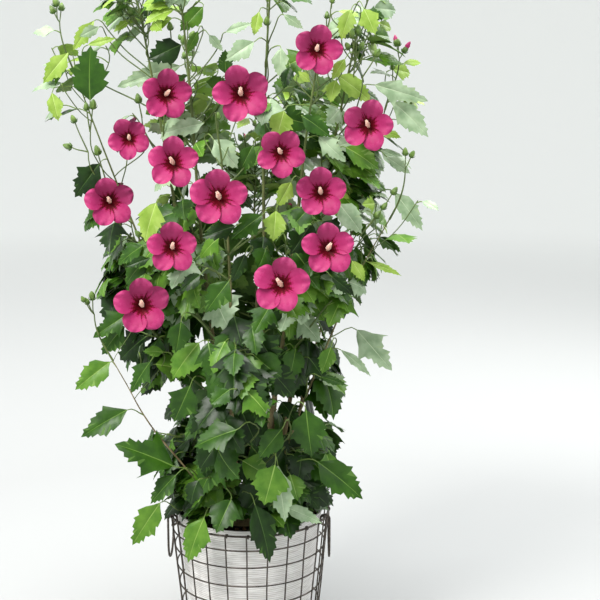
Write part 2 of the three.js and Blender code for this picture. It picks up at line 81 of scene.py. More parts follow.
# Leaves that stand out in the photograph. For each, the pixels where its stalk starts, where its blade
# starts and where it ends, the blade's width in pixels, its place towards the back at the blade's start
# and end, its age, where pale is not an age but a painted sheen, and its outline.
FEATURE_LEAVES = {
    "low_left_far": ((149, 410), (127, 410), (79, 434), 28, -0.080, -0.100, "mid", "plain"),
    "low_left_lobed": ((188, 470), (173, 466), (119, 441), 50, -0.110, -0.130, "mid", "lobed"),
    "low_left_small": ((187, 468), (176, 475), (148, 502), 22, -0.110, -0.125, "mid", "plain"),
    "rim_left": ((175, 508), (160, 503), (130, 545), 28, -0.080, -0.100, "fresh", "plain"),
    "rim_broad": ((226, 488), (231, 500), (216, 530), 34, -0.125, -0.160, "mid", "plain"),
    "rim_front_left": ((211, 506), (204, 518), (184, 562), 30, -0.130, -0.150, "fresh", "plain"),
    "rim_front_right": ((250, 493), (255, 505), (275, 562), 32, -0.130, -0.155, "deep", "plain"),
    "centre_fresh": ((276, 450), (275, 465), (264, 507), 38, -0.165, -0.175, "fresh", "plain"),
    "centre_pale": ((272, 452), (278, 466), (285, 525), 24, -0.158, -0.168, "pale", "young"),
    "right_low": ((298, 461), (318, 462), (364, 495), 36, -0.100, -0.130, "mid", "plain"),
    "right_broad": ((298, 402), (306, 410), (311, 458), 38, -0.140, -0.155, "mid", "plain"),
    "left_broad": ((250, 422), (236, 430), (192, 443), 34, -0.175, -0.180, "mid", "plain"),
    "centre_mid": ((288, 420), (282, 429), (257, 458), 26, -0.170, -0.178, "mid", "plain"),
    "rim_right_pale": ((275, 503), (285, 507), (322, 521), 16, -0.125, -0.140, "pale", "plain"),
    "left_margined": ((196, 376), (190, 386), (174, 423), 32, -0.140, -0.150, "mid", "plain"),
    "left_bright": ((124, 361), (110, 362), (74, 388), 27, -0.070, -0.090, "fresh", "plain"),
    "left_dusky": ((160, 352), (150, 362), (128, 391), 28, -0.100, -0.110, "mid", "lobed"),
    "left_spur": ((172, 355), (163, 352), (144, 350), 13, -0.110, -0.120, "fresh", "plain"),
    "left_high": ((186, 312), (181, 322), (177, 353), 26, -0.140, -0.150, "mid", "plain"),
    "outer_left": ((142, 318), (128, 314), (92, 336), 30, -0.070, -0.085, "mid", "lobed"),
    "outer_left_low": ((140, 322), (124, 326), (100, 354), 24, -0.060, -0.070, "mid", "plain"),
    "left_vivid": ((166, 196), (156, 203), (142, 241), 30, -0.120, -0.130, "young", "plain"),
    "left_sliver": ((162, 254), (150, 258), (126, 266), 11, -0.120, -0.130, "deep", "young"),
    "middle_sliver": ((208, 268), (200, 275), (180, 290), 17, -0.150, -0.160, "deep", "plain"),
    "middle_broad": ((238, 272), (229, 281), (204, 312), 27, -0.150, -0.160, "mid", "plain"),
    "under_centre": ((246, 222), (235, 226), (202, 236), 20, -0.165, -0.175, "deep", "plain"),
    "right_of_centre": ((278, 205), (276, 211), (274, 241), 24, -0.150, -0.160, "young", "plain"),
    "centre_grey": ((270, 208), (262, 215), (230, 238), 24, -0.160, -0.170, "mid", "plain"),
    "centre_dark": ((250, 246), (245, 254), (233, 283), 17, -0.150, -0.160, "deep", "plain"),
    "right_glossy": ((337, 330), (357, 330), (391, 369), 36, -0.030, -0.060, "pale", "lobed"),
    "right_narrow": ((330, 345), (341, 350), (372, 373), 11, -0.050, -0.070, "pale", "young"),
    "right_light": ((346, 254), (352, 261), (366, 280), 15, -0.090, -0.100, "young", "plain"),
    "right_thin": ((356, 258), (368, 262), (401, 272), 8, -0.060, -0.080, "young", "young"),
    "right_dark": ((322, 270), (332, 277), (355, 294), 15, -0.110, -0.120, "deep", "plain"),
    "right_shoot": ((334, 338), (331, 347), (322, 374), 18, -0.100, -0.110, "fresh", "plain"),
    "right_small": ((312, 374), (321, 377), (345, 383), 10, -0.100, -0.115, "mid", "plain"),
    "upper_right_grey": ((330, 198), (339, 204), (363, 231), 27, -0.090, -0.105, "pale", "plain"),
    "far_left_broad": ((99, 108), (90, 100), (87, 48), 40, -0.030, -0.050, "mid", "plain"),
    "far_left_light": ((84, 58), (68, 53), (42, 82), 20, -0.010, -0.020, "young", "young"),
    "far_left_young": ((104, 24), (94, 21), (72, 49), 16, 0.000, -0.010, "young", "young"),
    "far_left_blade": ((82, 52), (88, 45), (114, 37), 9, -0.020, -0.030, "young", "young"),
    "far_left_drop": ((60, 84), (52, 93), (58, 120), 16, -0.010, -0.020, "young", "young"),
    "left_shadow": ((112, 158), (99, 164), (74, 197), 28, -0.020, -0.030, "deep", "plain"),
    "upper_left_dark": ((190, 46), (181, 45), (149, 58), 28, -0.040, -0.060, "deep", "plain"),
    "upper_young": ((196, 2), (203, 7), (180, 30), 20, -0.020, -0.030, "fresh", "plain"),
    "upper_pale": ((192, 62), (180, 66), (117, 83), 32, 0.000, -0.020, "pale", "lobed"),
    "under_upper_left": ((212, 124), (204, 123), (165, 131), 19, -0.060, -0.070, "pale", "plain"),
    "top_right_left": ((356, 4), (351, 10), (340, 38), 20, -0.050, -0.060, "young", "plain"),
    "top_right_right": ((358, 2), (364, 9), (376, 33), 22, -0.050, -0.060, "young", "plain"),
    "top_middle": ((262, 4), (259, 12), (254, 34), 13, -0.040, -0.050, "young", "young"),
    "over_centre_pale": ((262, 38), (254, 42), (225, 59), 21, -0.060, -0.070, "pale", "plain"),
    "below_top": ((340, 72), (336, 80), (329, 101), 18, -0.060, -0.070, "young", "plain"),
    "beside_top": ((352, 52), (345, 59), (331, 78), 14, -0.070, -0.080, "young", "plain"),
    "right_soft": ((330, 70), (337, 75), (373, 99), 24, -0.040, -0.050, "young", "plain"),
    "far_right_upper": ((364, 90), (375, 85), (427, 99), 30, -0.020, -0.040, "pale", "lobed"),
    "far_right_lower": ((382, 98), (393, 102), (430, 133), 28, -0.010, -0.030, "pale", "plain"),
    "far_right_small": ((378, 150), (387, 157), (410, 173), 12, -0.030, -0.040, "pale", "young"),
    "far_right_low": ((384, 190), (395, 193), (424, 228), 22, -0.020, -0.040, "pale", "plain"),
    "middle_young": ((288, 104), (284, 111), (277, 138), 27, -0.090, -0.100, "young", "plain"),
    "right_mid_upper": ((293, 112), (302, 116), (332, 134), 23, -0.080, -0.090, "mid", "plain"),
    "right_grey_lower": ((310, 132), (319, 137), (346, 160), 26, -0.080, -0.090, "pale", "lobed"),
    "left_grey_upper": ((208, 134), (214, 140), (238, 167), 26, -0.120, -0.130, "pale", "plain"),
    "centre_upper": ((258, 138), (253, 145), (237, 177), 20, -0.110, -0.120, "mid", "plain"),
    "centre_young": ((296, 176), (291, 182), (278, 207), 18, -0.110, -0.120, "young", "plain"),
    "top_left_small": ((136, 16), (130, 20), (113, 30), 9, -0.020, -0.030, "young", "young"),
    "top_left_pale": ((104, 30), (99, 27), (80, 36), 12, -0.010, -0.020, "pale", "young"),
    "top_cluster_left": ((201, 26), (198, 31), (187, 54), 11, -0.030, -0.045, "fresh", "plain"),
    "top_cluster_right": ((203, 30), (209, 35), (222, 50), 10, -0.040, -0.050, "pale", "plain"),
    "top_pale_wing": ((222, 36), (226, 32), (250, 22), 11, -0.050, -0.060, "pale", "plain"),
    "top_pale_right": ((278, 18), (284, 15), (303, 27), 11, -0.050, -0.060, "pale", "young"),
    "beside_stem_pale": ((272, 48), (281, 48), (278, 77), 18, -0.060, -0.070, "pale", "plain"),
    "beside_stem_dark": ((286, 62), (290, 67), (283, 88), 14, -0.070, -0.080, "deep", "plain"),
    "under_top_bloom": ((316, 92), (310, 82), (299, 71), 9, -0.060, -0.065, "young", "young"),
    "behind_centre_top": ((222, 78), (226, 74), (224, 50), 18, -0.030, -0.035, "mid", "plain"),
}
# Buds that stand out in the photograph. For each group, the pixels of the joint that they grow from and
# of each bud, and their place towards the back.
FEATURE_BUDS = {
    "left_fan": ((148, 38), ((120, 3), (118, 12), (130, 10), (148, 4)), -0.020),
    "right_fan": ((355, 62), ((352, 33), (358, 30), (347, 45), (362, 45)), -0.040),
    "right_single": ((362, 78), ((378, 52),), -0.050),
    "left_outer": ((88, 152), ((67, 146), (73, 118)), -0.030),
    "left_inner": ((142, 118), ((138, 98),), -0.030),
    "left_high": ((90, 132), ((86, 105), (93, 104)), -0.040),
    "over_left": ((172, 48), ((170, 25),), -0.030),
    "top_centre": ((268, 46), ((267, 20),), -0.050),
    "left_low": ((105, 178), ((97, 150),), -0.030),
    "right_sprig": ((360, 236), ((385, 205), (395, 190), (378, 214)), -0.060),
}
# The crown's outline low down in the photograph: pixel down, and the pixels across at its left and right.
CROWN_OUTLINE = (
    (215, 66, 428), (230, 80, 412), (245, 94, 398), (265, 99, 386), (290, 96, 374), (310, 100, 360),
    (335, 103, 348), (362, 122, 346), (400, 140, 344), (430, 147, 338), (465, 154, 334), (500, 158, 330),
    (540, 164, 325),
)
# Sizes of the blooms round the sides and back, which the photograph doesn't show.
HIDDEN_BLOOM_SIZES = (0.066, 0.080)
# The low leaves over the compost: how many, the heights between which their blades start, how far out
# the first one starts, how much further the last one does, and how long they are.
COLLAR_LEAVES = 180
COLLAR_HEIGHTS = (0.246, 0.300)
COLLAR_NEAR = 0.030
COLLAR_SPREAD = 0.070
COLLAR_LENGTHS = (0.044, 0.066)
# How the masses of each tier grow: how many shoots each has and the shares of the way to the mass's skin
# that they reach, the gap between leaves, a leaf's length, how steeply it hangs, how far a shoot turns
# up, how young its leaves are, and how often it ends in buds.
TIERS = {
    "skirt": {"shoots": 30, "reach": (0.25, 0.85), "gap": 0.019, "leaf": 0.064, "hang": 0.75, "rise": 0.2,
              "young": 0.02, "buds": 0.0},
    "waist": {"shoots": 32, "reach": (0.30, 0.88), "gap": 0.020, "leaf": 0.066, "hang": 0.72, "rise": 0.5,
              "young": 0.05, "buds": 0.0},
    "mid": {"shoots": 32, "reach": (0.35, 0.94), "gap": 0.022, "leaf": 0.062, "hang": 0.60, "rise": 1.0,
            "young": 0.18, "buds": 0.03},
    "upper": {"shoots": 36, "reach": (0.40, 0.96), "gap": 0.021, "leaf": 0.058, "hang": 0.45, "rise": 1.6,
              "young": 0.34, "buds": 0.13},
    "tip": {"shoots": 28, "reach": (0.40, 0.96), "gap": 0.020, "leaf": 0.050, "hang": 0.32, "rise": 2.2,
            "young": 0.50, "buds": 0.18},
}
# The tier whose leaves a stem itself carries, below each height.
STEM_LEAF_TIERS = ((0.42, "skirt"), (0.60, "waist"), (0.78, "mid"), (math.inf, "upper"))
# The share of a tier's leaves that are pale, whatever their youth: a painted sheen, a whitish grey-green
# that stands in for the glossy reflection of the sky on the leaves.
PAINTED_SHEEN_SHARES = {"mid": 0.20, "upper": 0.30, "tip": 0.24}
# The ages of leaf below each youth: the usual one, the other one, and the usual one's share. For the
# youngest, the other one is the pale painted sheen.
AGE_AND_SHEEN_STEPS = (
    (0.08, "deep", "mid", 0.74),
    (0.22, "mid", "fresh", 0.65),
    (0.42, "fresh", "mid", 0.75),
    (math.inf, "young", "pale", 0.75),
)
# Leaves that start below this height go in one set of pieces, and the others in another.
LEAF_SPLIT_HEIGHT = 0.50
# The tier of masses that a piece of leaves stands for.
REPLACED_TIERS = {
    "deep_low": "skirt", "mid_low": "waist", "mid_high": "mid", "young_high": "tip", "pale_high": "upper",
}
# Seeds of the random draws, one for each kind of growth.
SEEDS = {"shoots": 11, "leaves": 23, "blooms": 37, "buds": 53, "features": 61, "soil": 71}
# The turns from one leaf, anther or shoot to the next, round what carries them.
LEAF_TURN = 2.4
ANTHER_TURN = 2.399
SPIRAL_TURN = 2.399963
# Spans in a shoot's line, and the radii of shoots: at the foot by what they carry, and at the tip.
SHOOT_STEPS = 10
SHOOT_FEET = {"leaves": 0.0016, "bloom": 0.0014, "feature": 0.0012, "buds": 0.0014, "leader": 0.0017}
SHOOT_TIP = 0.0009
# How far below its end a shoot leaves the stem: a share of its way out, usually and low down, and what
# is added to the usual one. Then the same for the shoots of blooms, in metres.
DROP_SHARES = (0.35, 1.0)
LOW_DROP_SHARES = (0.0, 0.6)
DROP_EXTRAS = (0.01, 0.05)
BLOOM_DROPS = (0.05, 0.11)
# How far the gaps between leaves along a shoot differ from the usual one.
GAP_FACTORS = (0.8, 1.25)
# A petiole's length as a share of its leaf's, and how much more or less than usual a leaf hangs.
PETIOLE_SHARES = (0.25, 0.50)
HANG_FACTORS = (0.5, 1.4)
# Where a bloom's shoot ends behind it and where its stalk goes on, in diameters.
BLOOM_SHOOT_END = 0.32
BLOOM_STALK_START = 0.34
# The lengths of buds and of their stalks, and the lengths of the buds that stand out.
BUD_LENGTHS = (0.010, 0.016)
BUD_STALK_LENGTHS = (0.010, 0.024)
FEATURE_BUD_LENGTHS = (0.012, 0.016)
# How far from its foot a bud that stands out has its middle, and how many diameters from a bloom's
# centre other buds keep.
BUD_MIDDLE = 0.008
BUD_ROOM = 0.62
# The stems that lean out furthest are thin ones, to this share of their CAD thickness.
SLIM_STEMS = {"low_left": 0.45, "low_right": 0.6, "far_left": 0.7, "far_right": 0.7}
# The level way to the light, which the leaves at the front turn to.
LIGHT_WAY = np.array([-0.15, -0.85, 0.0])
# A leaf nearer to a stem than this, in metres, has its stalk on the stem itself.
STALK_REACH = 0.035
# Room that leaves keep clear of a bloom: behind and beside it in diameters, and before it in metres.
BLOOM_BEHIND = 0.15
BLOOM_BESIDE = 0.55
BLOOM_BEFORE = 0.10
# Room between leaves and the compost, the rim and the handles' swing, and the lowest that a leaf hangs.
SOIL_ROOM = 0.012
RIM_ROOM = 0.006
HANDLE_ROOM = 0.010
LOWEST_LEAF = 0.175
# How far outside the masses a leaf's middle and its tip may be.
MASS_ROOM = (0.012, 0.022)
# Pixels between a leaf's base, middle and tip and the blooms and leaves that stand out behind it.
GUARD_MARGINS = (5, 11, 5)
# The same for a shoot and for a bud, and how far behind what stands out a leaf still hides it, in metres.
SHOOT_MARGIN = 2
BUD_MARGIN = 6
GUARD_DEPTH = 0.006
# Pixels by which a leaf's middle and its tip may be seen outside the crown's outline.
OUTLINE_ROOM = (0, 8)
# Edges that bend by more than this are shaded sharp.
SHARP_ANGLE = math.radians(55)

# Each age of leaf, and the pale tone, which is a painted sheen that stands in for the sky's glossy
# reflection on the leaves: the darker and lighter tone of its upper side and of its underside, the tone of
# its veins and its roughness. Colours are screen colours, from 0 to 255.
LEAF_TONES = {
    "deep": (((14, 40, 2), (28, 60, 5)), ((48, 78, 22), (64, 98, 34)), (62, 96, 30), 0.38),
    "mid": (((34, 70, 7), (52, 92, 15)), ((70, 106, 36), (88, 124, 50)), (96, 132, 46), 0.38),
    "fresh": (((70, 114, 26), (96, 138, 42)), ((104, 140, 58), (124, 158, 76)), (136, 168, 76), 0.40),
    "young": (((130, 164, 56), (160, 190, 86)), ((146, 176, 82), (168, 196, 104)), (182, 206, 116), 0.42),
    # The pale tone is a painted sheen, not an age.
    "pale": (((132, 158, 120), (170, 192, 156)), ((144, 166, 124), (168, 190, 148)), (188, 206, 170), 0.36),
}
# The petals' tones from the eye out, and the back's.
PETAL_TONES = {
    "eye": ((84, 0, 12), (104, 0, 22)),
    "eye_edge": ((118, 6, 36), (136, 12, 48)),
    "streak": ((174, 34, 94), (188, 42, 104)),
    "inner": ((182, 36, 104), (196, 44, 116)),
    "middle": ((182, 34, 104), (196, 46, 116)),
    "edge": ((188, 44, 112), (204, 60, 126)),
    "back": ((180, 54, 118), (200, 76, 138)),
}
# How bright most petals are beside these tones, and how bright the petals at a bloom's top are: a painted
# shade, darker tones that stand in for the shade they lie in.
PETAL_PAINTED_SHADE_SHARES = {"lit": 0.90, "deep": 0.78}
# Plain finishes: the darker and lighter tone, the roughness, how fine the mottling and the relief are,
# the relief's strength and, where it isn't the usual one, its depth.
FINISHES = {
    "petiole": (((96, 124, 48), (122, 146, 70)), 0.50, 60, 500, 0.15),
    "shoot_bark": (((66, 86, 36), (98, 116, 56)), 0.60, 70, 420, 0.30),
    "calyx_green": (((82, 112, 42), (112, 140, 62)), 0.50, 120, 700, 0.20),
    "bract_green": (((60, 94, 34), (86, 120, 50)), 0.50, 120, 700, 0.20),
    "column_cream": (((240, 186, 162), (250, 208, 182)), 0.55, 200, 800, 0.10),
    "pollen_cream": (((250, 206, 186), (255, 226, 208)), 0.70, 400, 1600, 0.20),
    "compost": (((34, 24, 17), (74, 54, 38)), 0.95, 180, 700, 0.80, 0.001),
    "bark_chip": (((92, 62, 40), (132, 96, 64)), 0.90, 120, 600, 0.50),
}
# The stems' bark near their feet and further up, the basket's wire, the liner's reeds and the grooves
# between them, darker as painted shade, and the stage.
LOW_BARK_TONES = ((104, 88, 60), (166, 148, 110))
HIGH_BARK_TONES = ((68, 86, 40), (106, 120, 66))
WIRE_TONES = ((62, 57, 52), (112, 104, 96))
REED_TONES = ((230, 227, 224), (250, 249, 247))
GROOVE_SHADE_TONES = ((172, 166, 161), (204, 198, 193))
STAGE_TONES = ((182, 183, 182), (247, 249, 247))
# The heights between which the stems' bark turns from brown to green.
BARK_CHANGE = (0.35, 0.80)


# Shared helpers.

def unit(vector):
    """The vector at length 1."""
    return vector / max(1e-9, float(np.linalg.norm(vector)))


def turned_about(vector, axis, angle):
    """The vector turned about a unit axis."""
    cosine = math.cos(angle)
    along = axis * float(np.dot(axis, vector)) * (1 - cosine)
    return vector * cosine + np.cross(axis, vector) * math.sin(angle) + along


def compass(turn, first, second):
    """The way at a turn from the first of two ways towards the second."""
    return math.cos(turn) * first + math.sin(turn) * second


def level_way(turn):
    """The level way at a turn from +X."""
    return np.array([math.cos(turn), math.sin(turn), 0.0])


def across_ways(facing, nudge):
    """Two ways square to a facing and to each other. The nudge keeps them from failing when it is upright."""
    first = unit(np.cross(facing, UP + np.array(nudge)))
    return first, np.cross(facing, first)


def round_noise(turn, scale, third):
    """Noise that joins up round a full turn."""
    return noise.noise(Vector((math.cos(turn) * scale, math.sin(turn) * scale, third)))


def linear(colour):
    """A screen colour, from 0 to 255, as the linear colour that a shader takes."""
    shares = [value / 255 for value in colour]
    return (*(s / 12.92 if s <= 0.04045 else ((s + 0.055) / 1.055) ** 2.4 for s in shares), 1.0)


def photo_point(across, down, place_back):
    """The point that a pixel of the photograph shows, on the upright plane at that y."""
    right = (across - IMAGE_SIDE / 2) / CAMERA_FOCUS
    high = (IMAGE_SIDE / 2 - down) / CAMERA_FOCUS
    cosine = math.cos(CAMERA_TILT)
    sine = math.sin(CAMERA_TILT)
    ray = np.array([right, cosine + high * sine, high * cosine - sine])
    return CAMERA_PLACE + ray * (place_back - CAMERA_PLACE[1]) / ray[1]


def pixel_of(point):
    """The photograph's pixel that shows a point, and how many metres one pixel spans there."""
    gap = point - CAMERA_PLACE
    deep = gap[1] * math.cos(CAMERA_TILT) - gap[2] * math.sin(CAMERA_TILT)
    high = gap[1] * math.sin(CAMERA_TILT) + gap[2] * math.cos(CAMERA_TILT)
    span = deep / CAMERA_FOCUS
    return np.array([IMAGE_SIDE / 2 + gap[0] / span, IMAGE_SIDE / 2 - high / span]), span


class Pile:
    """Gathers meshes of one kind, which become one object."""

    def __init__(self, name, materials, slot):
        self.name = name
        self.materials = materials
        self.slot = slot
        self.points = []
        self.faces = []
        self.slots = []
        self.count = 0

    def add(self, points, faces, slots=0):
        """Adds one mesh. Faces count from 0 in it, and slots is one number or one for each face."""
        self.points.append(np.asarray(points, dtype=np.float64))
        offset = self.count
        self.faces.extend([tuple(corner + offset for corner in face) for face in faces])
        self.slots.extend([slots] * len(faces) if isinstance(slots, int) else list(slots))
        self.count += len(points)

    def build(self, replaced=(), body=PLANT_BODY):
        """Makes the object, which rides on its body and stands for the CAD nodes it replaces."""
        mesh = smooth_mesh(self.name, np.concatenate(self.points), self.faces, self.materials)
        mesh.polygons.foreach_set("material_index", self.slots)
        mesh.validate()
        mesh.set_sharp_from_angle(angle=SHARP_ANGLE)
        piece = add_object(self.name, mesh)
        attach(piece, body)
        if replaced:
            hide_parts(*replaced)


def smooth_mesh(name, points, faces, materials):
    """A smooth mesh with its materials."""
    mesh = bpy.data.meshes.new(name)
    mesh.from_pydata(points, [], faces)
    mesh.polygons.foreach_set("use_smooth", [True] * len(faces))
    for material in materials:
        mesh.materials.append(material)
    return mesh


def add_object(name, data):
    """Puts an object in the scene."""
    made = bpy.data.objects.new(name, data)
    bpy.context.scene.collection.objects.link(made)
    return made


def ring_faces(rows, sides, first=0, turned=False, closed=False):
    """Faces between neighbouring rings of points. A closed run of rings ends where it starts."""
    faces = []
    for row in range(rows):
        near = first + row * sides
        far = first + ((row + 1) % rows if closed else row + 1) * sides
        for k in range(sides):
            n = (k + 1) % sides
            if turned:
                faces.append((near + k, far + k, far + n, near + n))
            else:
                faces.append((near + k, near + n, far + n, far + k))
    return faces


def closed_skin(rows, sides, turned=False):
    """Faces of a skin over rings of points, with one face over each end."""
    low = tuple(range(sides))
    high = tuple(rows * sides + k for k in low)
    ends = [low, high[::-1]] if turned else [low[::-1], high]
    return ring_faces(rows, sides, turned=turned) + ends


def fan(sides):
    """Faces from the point 0 to the ring of points after it."""
    return [(0, 1 + k, 1 + (k + 1) % sides) for k in range(sides)]


def revolved(profile, sides):
    """Rings of points round the upright axis, one for each reach and height of a profile."""
    return [
        level_way(2 * math.pi * k / sides) * reach + UP * height
        for reach, height in profile for k in range(sides)
    ]


def smooth_line(points, per_span=8):
    """A line through the points with a Catmull-Rom curve between neighbours."""
    points = np.asarray(points, dtype=np.float64)
    ends = np.vstack([2 * points[0] - points[1], points, 2 * points[-1] - points[-2]])
    line = []
    for i in range(1, len(ends) - 2):
        before, start, end, after = ends[i - 1:i + 3]
        for step in range(per_span):
            t = step / per_span
            line.append(0.5 * (
                2 * start + (end - before) * t + (2 * before - 5 * start + 4 * end - after) * t ** 2
                + (3 * start - before - 3 * end + after) * t ** 3
            ))
    line.append(points[-1])
    return np.array(line)


def arch(start, leave, end, arrive, steps):
    """A curve from start to end that leaves and arrives along two directions."""
    reach = float(np.linalg.norm(end - start))
    first = start + unit(leave) * reach * 0.42
    second = end - unit(arrive) * reach * 0.36
    t = np.linspace(0, 1, steps + 1)[:, None]
    return (
        (1 - t) ** 3 * start + 3 * (1 - t) ** 2 * t * first + 3 * (1 - t) * t ** 2 * second + t ** 3 * end
    )


def tube(line, radii, sides, closed=False, swell=None):
    """Points and faces of a round tube along a line. Swell changes each point's radius."""
    line = np.asarray(line, dtype=np.float64)
    count = len(line)
    radii = np.broadcast_to(np.asarray(radii, dtype=np.float64), (count,))
    if closed:
        ways = np.roll(line, -1, axis=0) - np.roll(line, 1, axis=0)
    else:
        ways = np.gradient(line, axis=0)
    ways /= np.maximum(1e-12, np.linalg.norm(ways, axis=1))[:, None]
    side = np.cross(ways[0], UP if abs(ways[0][2]) < 0.9 else np.array([1.0, 0.0, 0.0]))
    turns = np.arange(sides) * 2 * math.pi / sides
    rings = []
    for i in range(count):
        side = unit(side - ways[i] * float(np.dot(side, ways[i])))
        other = np.cross(ways[i], side)
        reach = np.full(sides, radii[i])
        if swell is not None:
            reach = reach * swell(i, turns)
        rings.append(
            line[i] + (np.cos(turns) * reach)[:, None] * side + (np.sin(turns) * reach)[:, None] * other
        )
    faces = ring_faces(count, sides, closed=True) if closed else closed_skin(count - 1, sides)
    return np.concatenate(rings), faces


# Materials.

def shader(name, roughness, metallic, specular):
    """A material, the node tree that feeds it and its shader node."""
    material = bpy.data.materials.new(name)
    material.use_nodes = True
    tree = material.node_tree
    principled = tree.nodes["Principled BSDF"]
    principled.inputs["Roughness"].default_value = roughness
    principled.inputs["Metallic"].default_value = metallic
    principled.inputs["Specular IOR Level"].default_value = specular
    return material, tree, principled


def object_place(tree):
    """Each point's place on its object's own axes."""
    return tree.nodes.new("ShaderNodeTexCoord").outputs["Object"]


def mottling(tree, scale, detail, stretch=(1, 1, 1)):
    """Noise over the object's own place, stretched along its axes."""
    mapping = tree.nodes.new("ShaderNodeMapping")
    mapping.inputs["Scale"].default_value = stretch
    texture = tree.nodes.new("ShaderNodeTexNoise")
    texture.inputs["Scale"].default_value = scale
    texture.inputs["Detail"].default_value = detail
    tree.links.new(object_place(tree), mapping.inputs["Vector"])
    tree.links.new(mapping.outputs["Vector"], texture.inputs["Vector"])
    return texture.outputs["Fac"]


def two_tone(tree, target, factor, tones, low=0.35, high=0.65):
    """Feeds a colour that runs from the darker to the lighter tone as the factor rises."""
    ramp = tree.nodes.new("ShaderNodeValToRGB")
    for element, place, tone in zip(ramp.color_ramp.elements, (low, high), tones):
        element.position = place
        element.color = linear(tone)
    tree.links.new(factor, ramp.inputs["Fac"])
    tree.links.new(ramp.outputs["Color"], target)


def blended(tree, target, factor, low_tones, high_tones, mottle):
    """Feeds a two-tone colour that changes from one pair of tones to another as the factor rises."""
    mix = tree.nodes.new("ShaderNodeMix")
    mix.data_type = "RGBA"
    two_tone(tree, mix.inputs[6], mottle, low_tones)
    two_tone(tree, mix.inputs[7], mottle, high_tones)
    tree.links.new(factor, mix.inputs[0])
    tree.links.new(mix.outputs[2], target)


def share_between(tree, value, low, high, clamped=True):
    """How far a value is from a low one to a high one."""
    share = tree.nodes.new("ShaderNodeMapRange")
    share.clamp = clamped
    share.inputs["From Min"].default_value = low
    share.inputs["From Max"].default_value = high
    tree.links.new(value, share.inputs["Value"])
    return share.outputs["Result"]


def height_share(tree, low, high, clamped=True):
    """How far up a point is from one height to another."""
    split = tree.nodes.new("ShaderNodeSeparateXYZ")
    tree.links.new(object_place(tree), split.inputs["Vector"])
    return share_between(tree, split.outputs["Z"], low, high, clamped)


def reckoned(tree, operation, value, other=0.0):
    """A value after one step of arithmetic, with another value where the step takes one."""
    node = tree.nodes.new("ShaderNodeMath")
    node.operation = operation
    node.inputs[1].default_value = other
    tree.links.new(value, node.inputs[0])
    return node.outputs[0]


def add_relief(tree, principled, height, strength, depth):
    """Relief from a height."""
    bump = tree.nodes.new("ShaderNodeBump")
    bump.inputs["Strength"].default_value = strength
    bump.inputs["Distance"].default_value = depth
    tree.links.new(height, bump.inputs["Height"])
    tree.links.new(bump.outputs["Normal"], principled.inputs["Normal"])


def mottled(name, tones, roughness, scale, relief_scale, relief, depth=0.0004):
    """A material of two close tones with fine relief."""
    material, tree, principled = shader(name, roughness, 0.0, 0.5)
    two_tone(tree, principled.inputs["Base Color"], mottling(tree, scale, 4.0), tones)
    add_relief(tree, principled, mottling(tree, relief_scale, 6.0), relief, depth)
    return material


def leaf_blade(name, tones, roughness):
    """A leaf blade: two close greens, with a fine net of veins as relief."""
    material, tree, principled = shader(name, roughness, 0.0, 0.3)
    two_tone(tree, principled.inputs["Base Color"], mottling(tree, 55.0, 3.0), tones)
    cells = tree.nodes.new("ShaderNodeTexVoronoi")
    cells.feature = "DISTANCE_TO_EDGE"
    cells.inputs["Scale"].default_value = 420.0
    tree.links.new(object_place(tree), cells.inputs["Vector"])
    add_relief(tree, principled, cells.outputs["Distance"], 0.25, 0.0004)
    return material


def leaf_materials():
    """Each age of leaf, and the pale painted sheen: its upper side, underside and veins."""
    return {
        age: [
            leaf_blade(f"leaf_{age}_upper", upper, roughness),
            leaf_blade(f"leaf_{age}_under", under, 0.6),
            mottled(f"leaf_{age}_rib", (rib, rib), 0.5, 80.0, 600, 0.1),
        ]
        for age, (upper, under, rib, roughness) in LEAF_TONES.items()
    }


def petal_materials():
    """A petal's zones, from the eye to the edge, and its back: one set for most petals, then a darker one,
    painted shade for the petals at a bloom's top.
    """
    made = []
    for name, strength in PETAL_PAINTED_SHADE_SHARES.items():
        for zone, tones in PETAL_TONES.items():
            is_eye = zone in ("eye", "eye_edge", "streak")
            material, tree, principled = shader(f"petal_{name}_{zone}", 0.55, 0.0, 0.15 if is_eye else 0.3)
            if not is_eye:
                principled.inputs["Sheen Weight"].default_value = 0.22
                principled.inputs["Sheen Roughness"].default_value = 0.4
            # The deep set's tones are darker: painted shade for the petals at a bloom's top.
            shaded = [[value * strength for value in tone] for tone in tones]
            two_tone(tree, principled.inputs["Base Color"], mottling(tree, 90.0, 3.0), shaded)
            add_relief(tree, principled, mottling(tree, 900.0, 2.0), 0.2, 0.0002)
            made.append(material)
    return made


# Reading the frame.

def mesh_points(node):
    """The points of a CAD node's mesh."""
    return np.array([vertex.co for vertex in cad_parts[node].data.vertices])


def nodes_of(kind):
    """The CAD nodes whose names start with a word, and the rest of each name."""
    return [(node, node[len(kind):]) for node in sorted(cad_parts) if node.startswith(kind)]


def read_stems():
    """Each stem's smooth line and its radius at each point of it, from the level rings of its CAD node."""
    stems = {}
    for node, stem in nodes_of("stem_"):
        points = np.unique(np.round(mesh_points(node), 5), axis=0)
        points = points[np.argsort(points[:, 2])]
        rings = np.split(points, np.nonzero(np.diff(points[:, 2]) > 0.004)[0] + 1)
        centres = np.array([ring.mean(axis=0) for ring in rings])
        radii = [np.linalg.norm(ring - centre, axis=1).min() for ring, centre in zip(rings, centres)]
        line = smooth_line(centres, 12)
        spread = np.interp(np.linspace(0, len(radii) - 1, len(line)), np.arange(len(radii)), radii)
        stems[stem] = (line, spread * SLIM_STEMS.get(stem, 1.0))
    return stems


